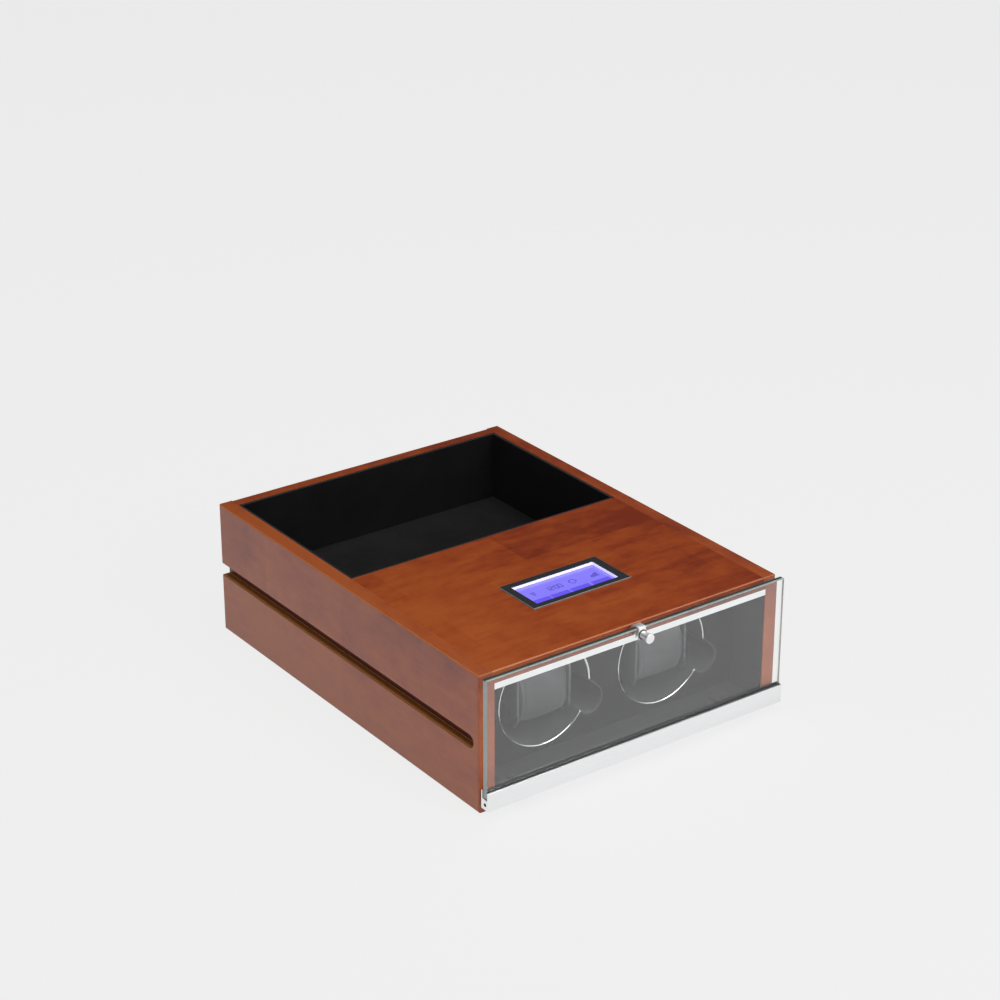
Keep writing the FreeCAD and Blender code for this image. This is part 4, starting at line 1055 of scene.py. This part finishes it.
class WINDER_OT_electrics(bpy.types.Operator):
    """Power inlet with its nut, and the leads inside"""
    bl_idname = "winder.electrics"
    bl_label = "Power inlet and leads"

    def execute(self, context):
        look = colours()
        inlet = softened(copy_of("power_inlet", "inlet_socket"), sizes().arris)
        stand_in(inlet, "power_inlet", "case", moulded("inlet_black", look.bezel, 0.38))
        paint(moulded("nut_black", shade(look.bezel, 1.3), 0.5), "inlet_nut")
        paint(moulded("lead_sheath", look.sheath, 0.6, grit=1500.0), "wiring_leads")
        return {"FINISHED"}


# Camera
VIEW_AZIMUTH = math.radians(-36.0312)
VIEW_ELEVATION = math.radians(24.4825)
VIEW_SPOT = Vector((-1.1398, -1.5824, 1.0443))
VIEW_LENS = 91.907
VIEW_SENSOR = 36.0
VIEW_REACH = 100.0

# Lamps: name, place, size, the level that holds the power, and the point that the lamp looks at
BOX_MIDDLE = (0.0, 0.0, 0.06)
FASCIA_FOOT = (0.0, -0.16, 0.03)
LAMPS = (
    ("key_softbox", (0.35, -1.9, 1.5), (1.8, 1.2), "key", BOX_MIDDLE),
    ("top_softbox", (-0.1, -0.35, 2.2), (1.7, 1.7), "top", BOX_MIDDLE),
    ("fill_softbox", (-2.4, 0.0, 0.35), (1.6, 1.2), "fill", BOX_MIDDLE),
    ("trim_softbox", (0.80, -0.60, 1.10), (2.4, 2.4), "trim", BOX_MIDDLE),
    ("bar_lamp", (0.0, -0.179, 0.1055), (0.25, 0.006), "bar_lamp", FASCIA_FOOT),
)

# Floor's side and drop in metres, how much of it is shown as backdrop, and where the room dims
FLOOR_SIZE = 30.0
FLOOR_DROP = 0.2 * MM
BACKDROP_SHARE = 0.94
HORIZON = (0.03, 0.15)


class WINDER_OT_stage(bpy.types.Operator):
    """Pale floor, soft light and the camera"""
    bl_idname = "winder.stage"
    bl_label = "Stage"

    def execute(self, context):
        self.floor()
        self.room(context.scene)
        lamps = {name: self.lamp(name, *settings) for name, *settings in LAMPS}
        lamps["trim_softbox"].visible_diffuse = False
        lamps["bar_lamp"].visible_camera = False
        lamps["bar_lamp"].visible_transmission = False
        self.camera(context.scene)
        context.scene.view_settings.view_transform = "Standard"
        return {"FINISHED"}

    def floor(self):
        """Floor that looks like an even backdrop, and takes a faint shadow."""
        clear()
        bpy.ops.mesh.primitive_plane_add(size=FLOOR_SIZE, location=(0.0, 0.0, -FLOOR_DROP))
        ground = settle(named("floor"))
        finish = Finish("pale_floor", {"Base Color": rgba(colours().floor), "Roughness": 0.9,
                                       "Specular IOR Level": 0.0})
        camera, glossy, through = (finish.node("LightPath", {}, {}, out=f"Is {ray} Ray")
                                   for ray in ("Camera", "Glossy", "Transmission"))
        shown = (camera + glossy + through).least(1.0)
        glow = finish.node("Emission", {}, {"Color": rgba(colours().backdrop), "Strength": 1.0})
        finish.blend(BACKDROP_SHARE * shown, glow)
        ground.data.materials.append(finish.material)

    def room(self, scene):
        """Even light that is pale near the horizon and dim overhead."""
        world = bpy.data.worlds.new("studio_room")
        world.use_nodes = True
        scene.world = world
        wiring = Wiring(world.node_tree)
        where = wiring.node("TexCoord", {}, {}, out="Generated")
        height = wiring.node("SeparateXYZ", {}, {"Vector": where}, out="Z")
        dim = (sizes().ambient,) * 3
        tone = wiring.mix(height.over(*HORIZON), rgba(colours().backdrop), rgba(dim))
        wiring.feed(world.node_tree.nodes["Background"].inputs["Color"], tone)

    def lamp(self, name, spot, size, power, aim):
        """Area lamp that looks at a point."""
        clear()
        bpy.ops.object.light_add(type="AREA", location=spot)
        lamp = named(name)
        lamp.data.shape = "RECTANGLE"
        lamp.data.size, lamp.data.size_y = size
        lamp.data.energy = getattr(sizes(), power)
        lamp.rotation_euler = (Vector(aim) - Vector(spot)).to_track_quat("-Z", "Y").to_euler()
        return lamp

    def camera(self, scene):
        """Camera that sees the box from its front left, from above."""
        clear()
        bpy.ops.object.camera_add()
        camera = named("photo_camera")
        back = Vector((math.sin(VIEW_AZIMUTH) * math.cos(VIEW_ELEVATION),
                       -math.cos(VIEW_AZIMUTH) * math.cos(VIEW_ELEVATION), math.sin(VIEW_ELEVATION)))
        right = Vector((math.cos(VIEW_AZIMUTH), math.sin(VIEW_AZIMUTH), 0.0))
        turn = Matrix((right, back.cross(right), back)).transposed()
        camera.matrix_world = Matrix.Translation(VIEW_SPOT) @ turn.to_4x4()
        camera.data.sensor_width = VIEW_SENSOR
        camera.data.lens = VIEW_LENS
        camera.data.clip_end = VIEW_REACH
        scene.camera = camera


STEPS = (WINDER_OT_case, WINDER_OT_linings, WINDER_OT_fascia, WINDER_OT_rotors, WINDER_OT_pads,
         WINDER_OT_drive, WINDER_OT_display, WINDER_OT_light_bar, WINDER_OT_door, WINDER_OT_knob,
         WINDER_OT_electrics, WINDER_OT_stage)


class WINDER_PT_panel(bpy.types.Panel):
    """Lists the pieces, colours and sizes of the box"""
    bl_idname = "WINDER_PT_panel"
    bl_label = "Watch Winder Box"
    bl_space_type = "VIEW_3D"
    bl_region_type = "UI"
    bl_category = "Winder"

    def draw(self, context):
        for step in STEPS:
            self.layout.operator(step.bl_idname)
        for group in (context.scene.winder_colours, context.scene.winder_sizes):
            for name in group.__annotations__:
                self.layout.prop(group, name)


CLASSES = (WinderColours, WinderSizes, *STEPS, WINDER_PT_panel)


def register():
    for item in CLASSES:
        bpy.utils.register_class(item)
    bpy.types.Scene.winder_colours = PointerProperty(type=WinderColours)
    bpy.types.Scene.winder_sizes = PointerProperty(type=WinderSizes)


def unregister():
    del bpy.types.Scene.winder_sizes
    del bpy.types.Scene.winder_colours
    for item in reversed(CLASSES):
        bpy.utils.unregister_class(item)


def main():
    register()
    for step in STEPS:
        group, name = step.bl_idname.split(".")
        getattr(getattr(bpy.ops, group), name)()


if __name__ == "__main__":
    main()
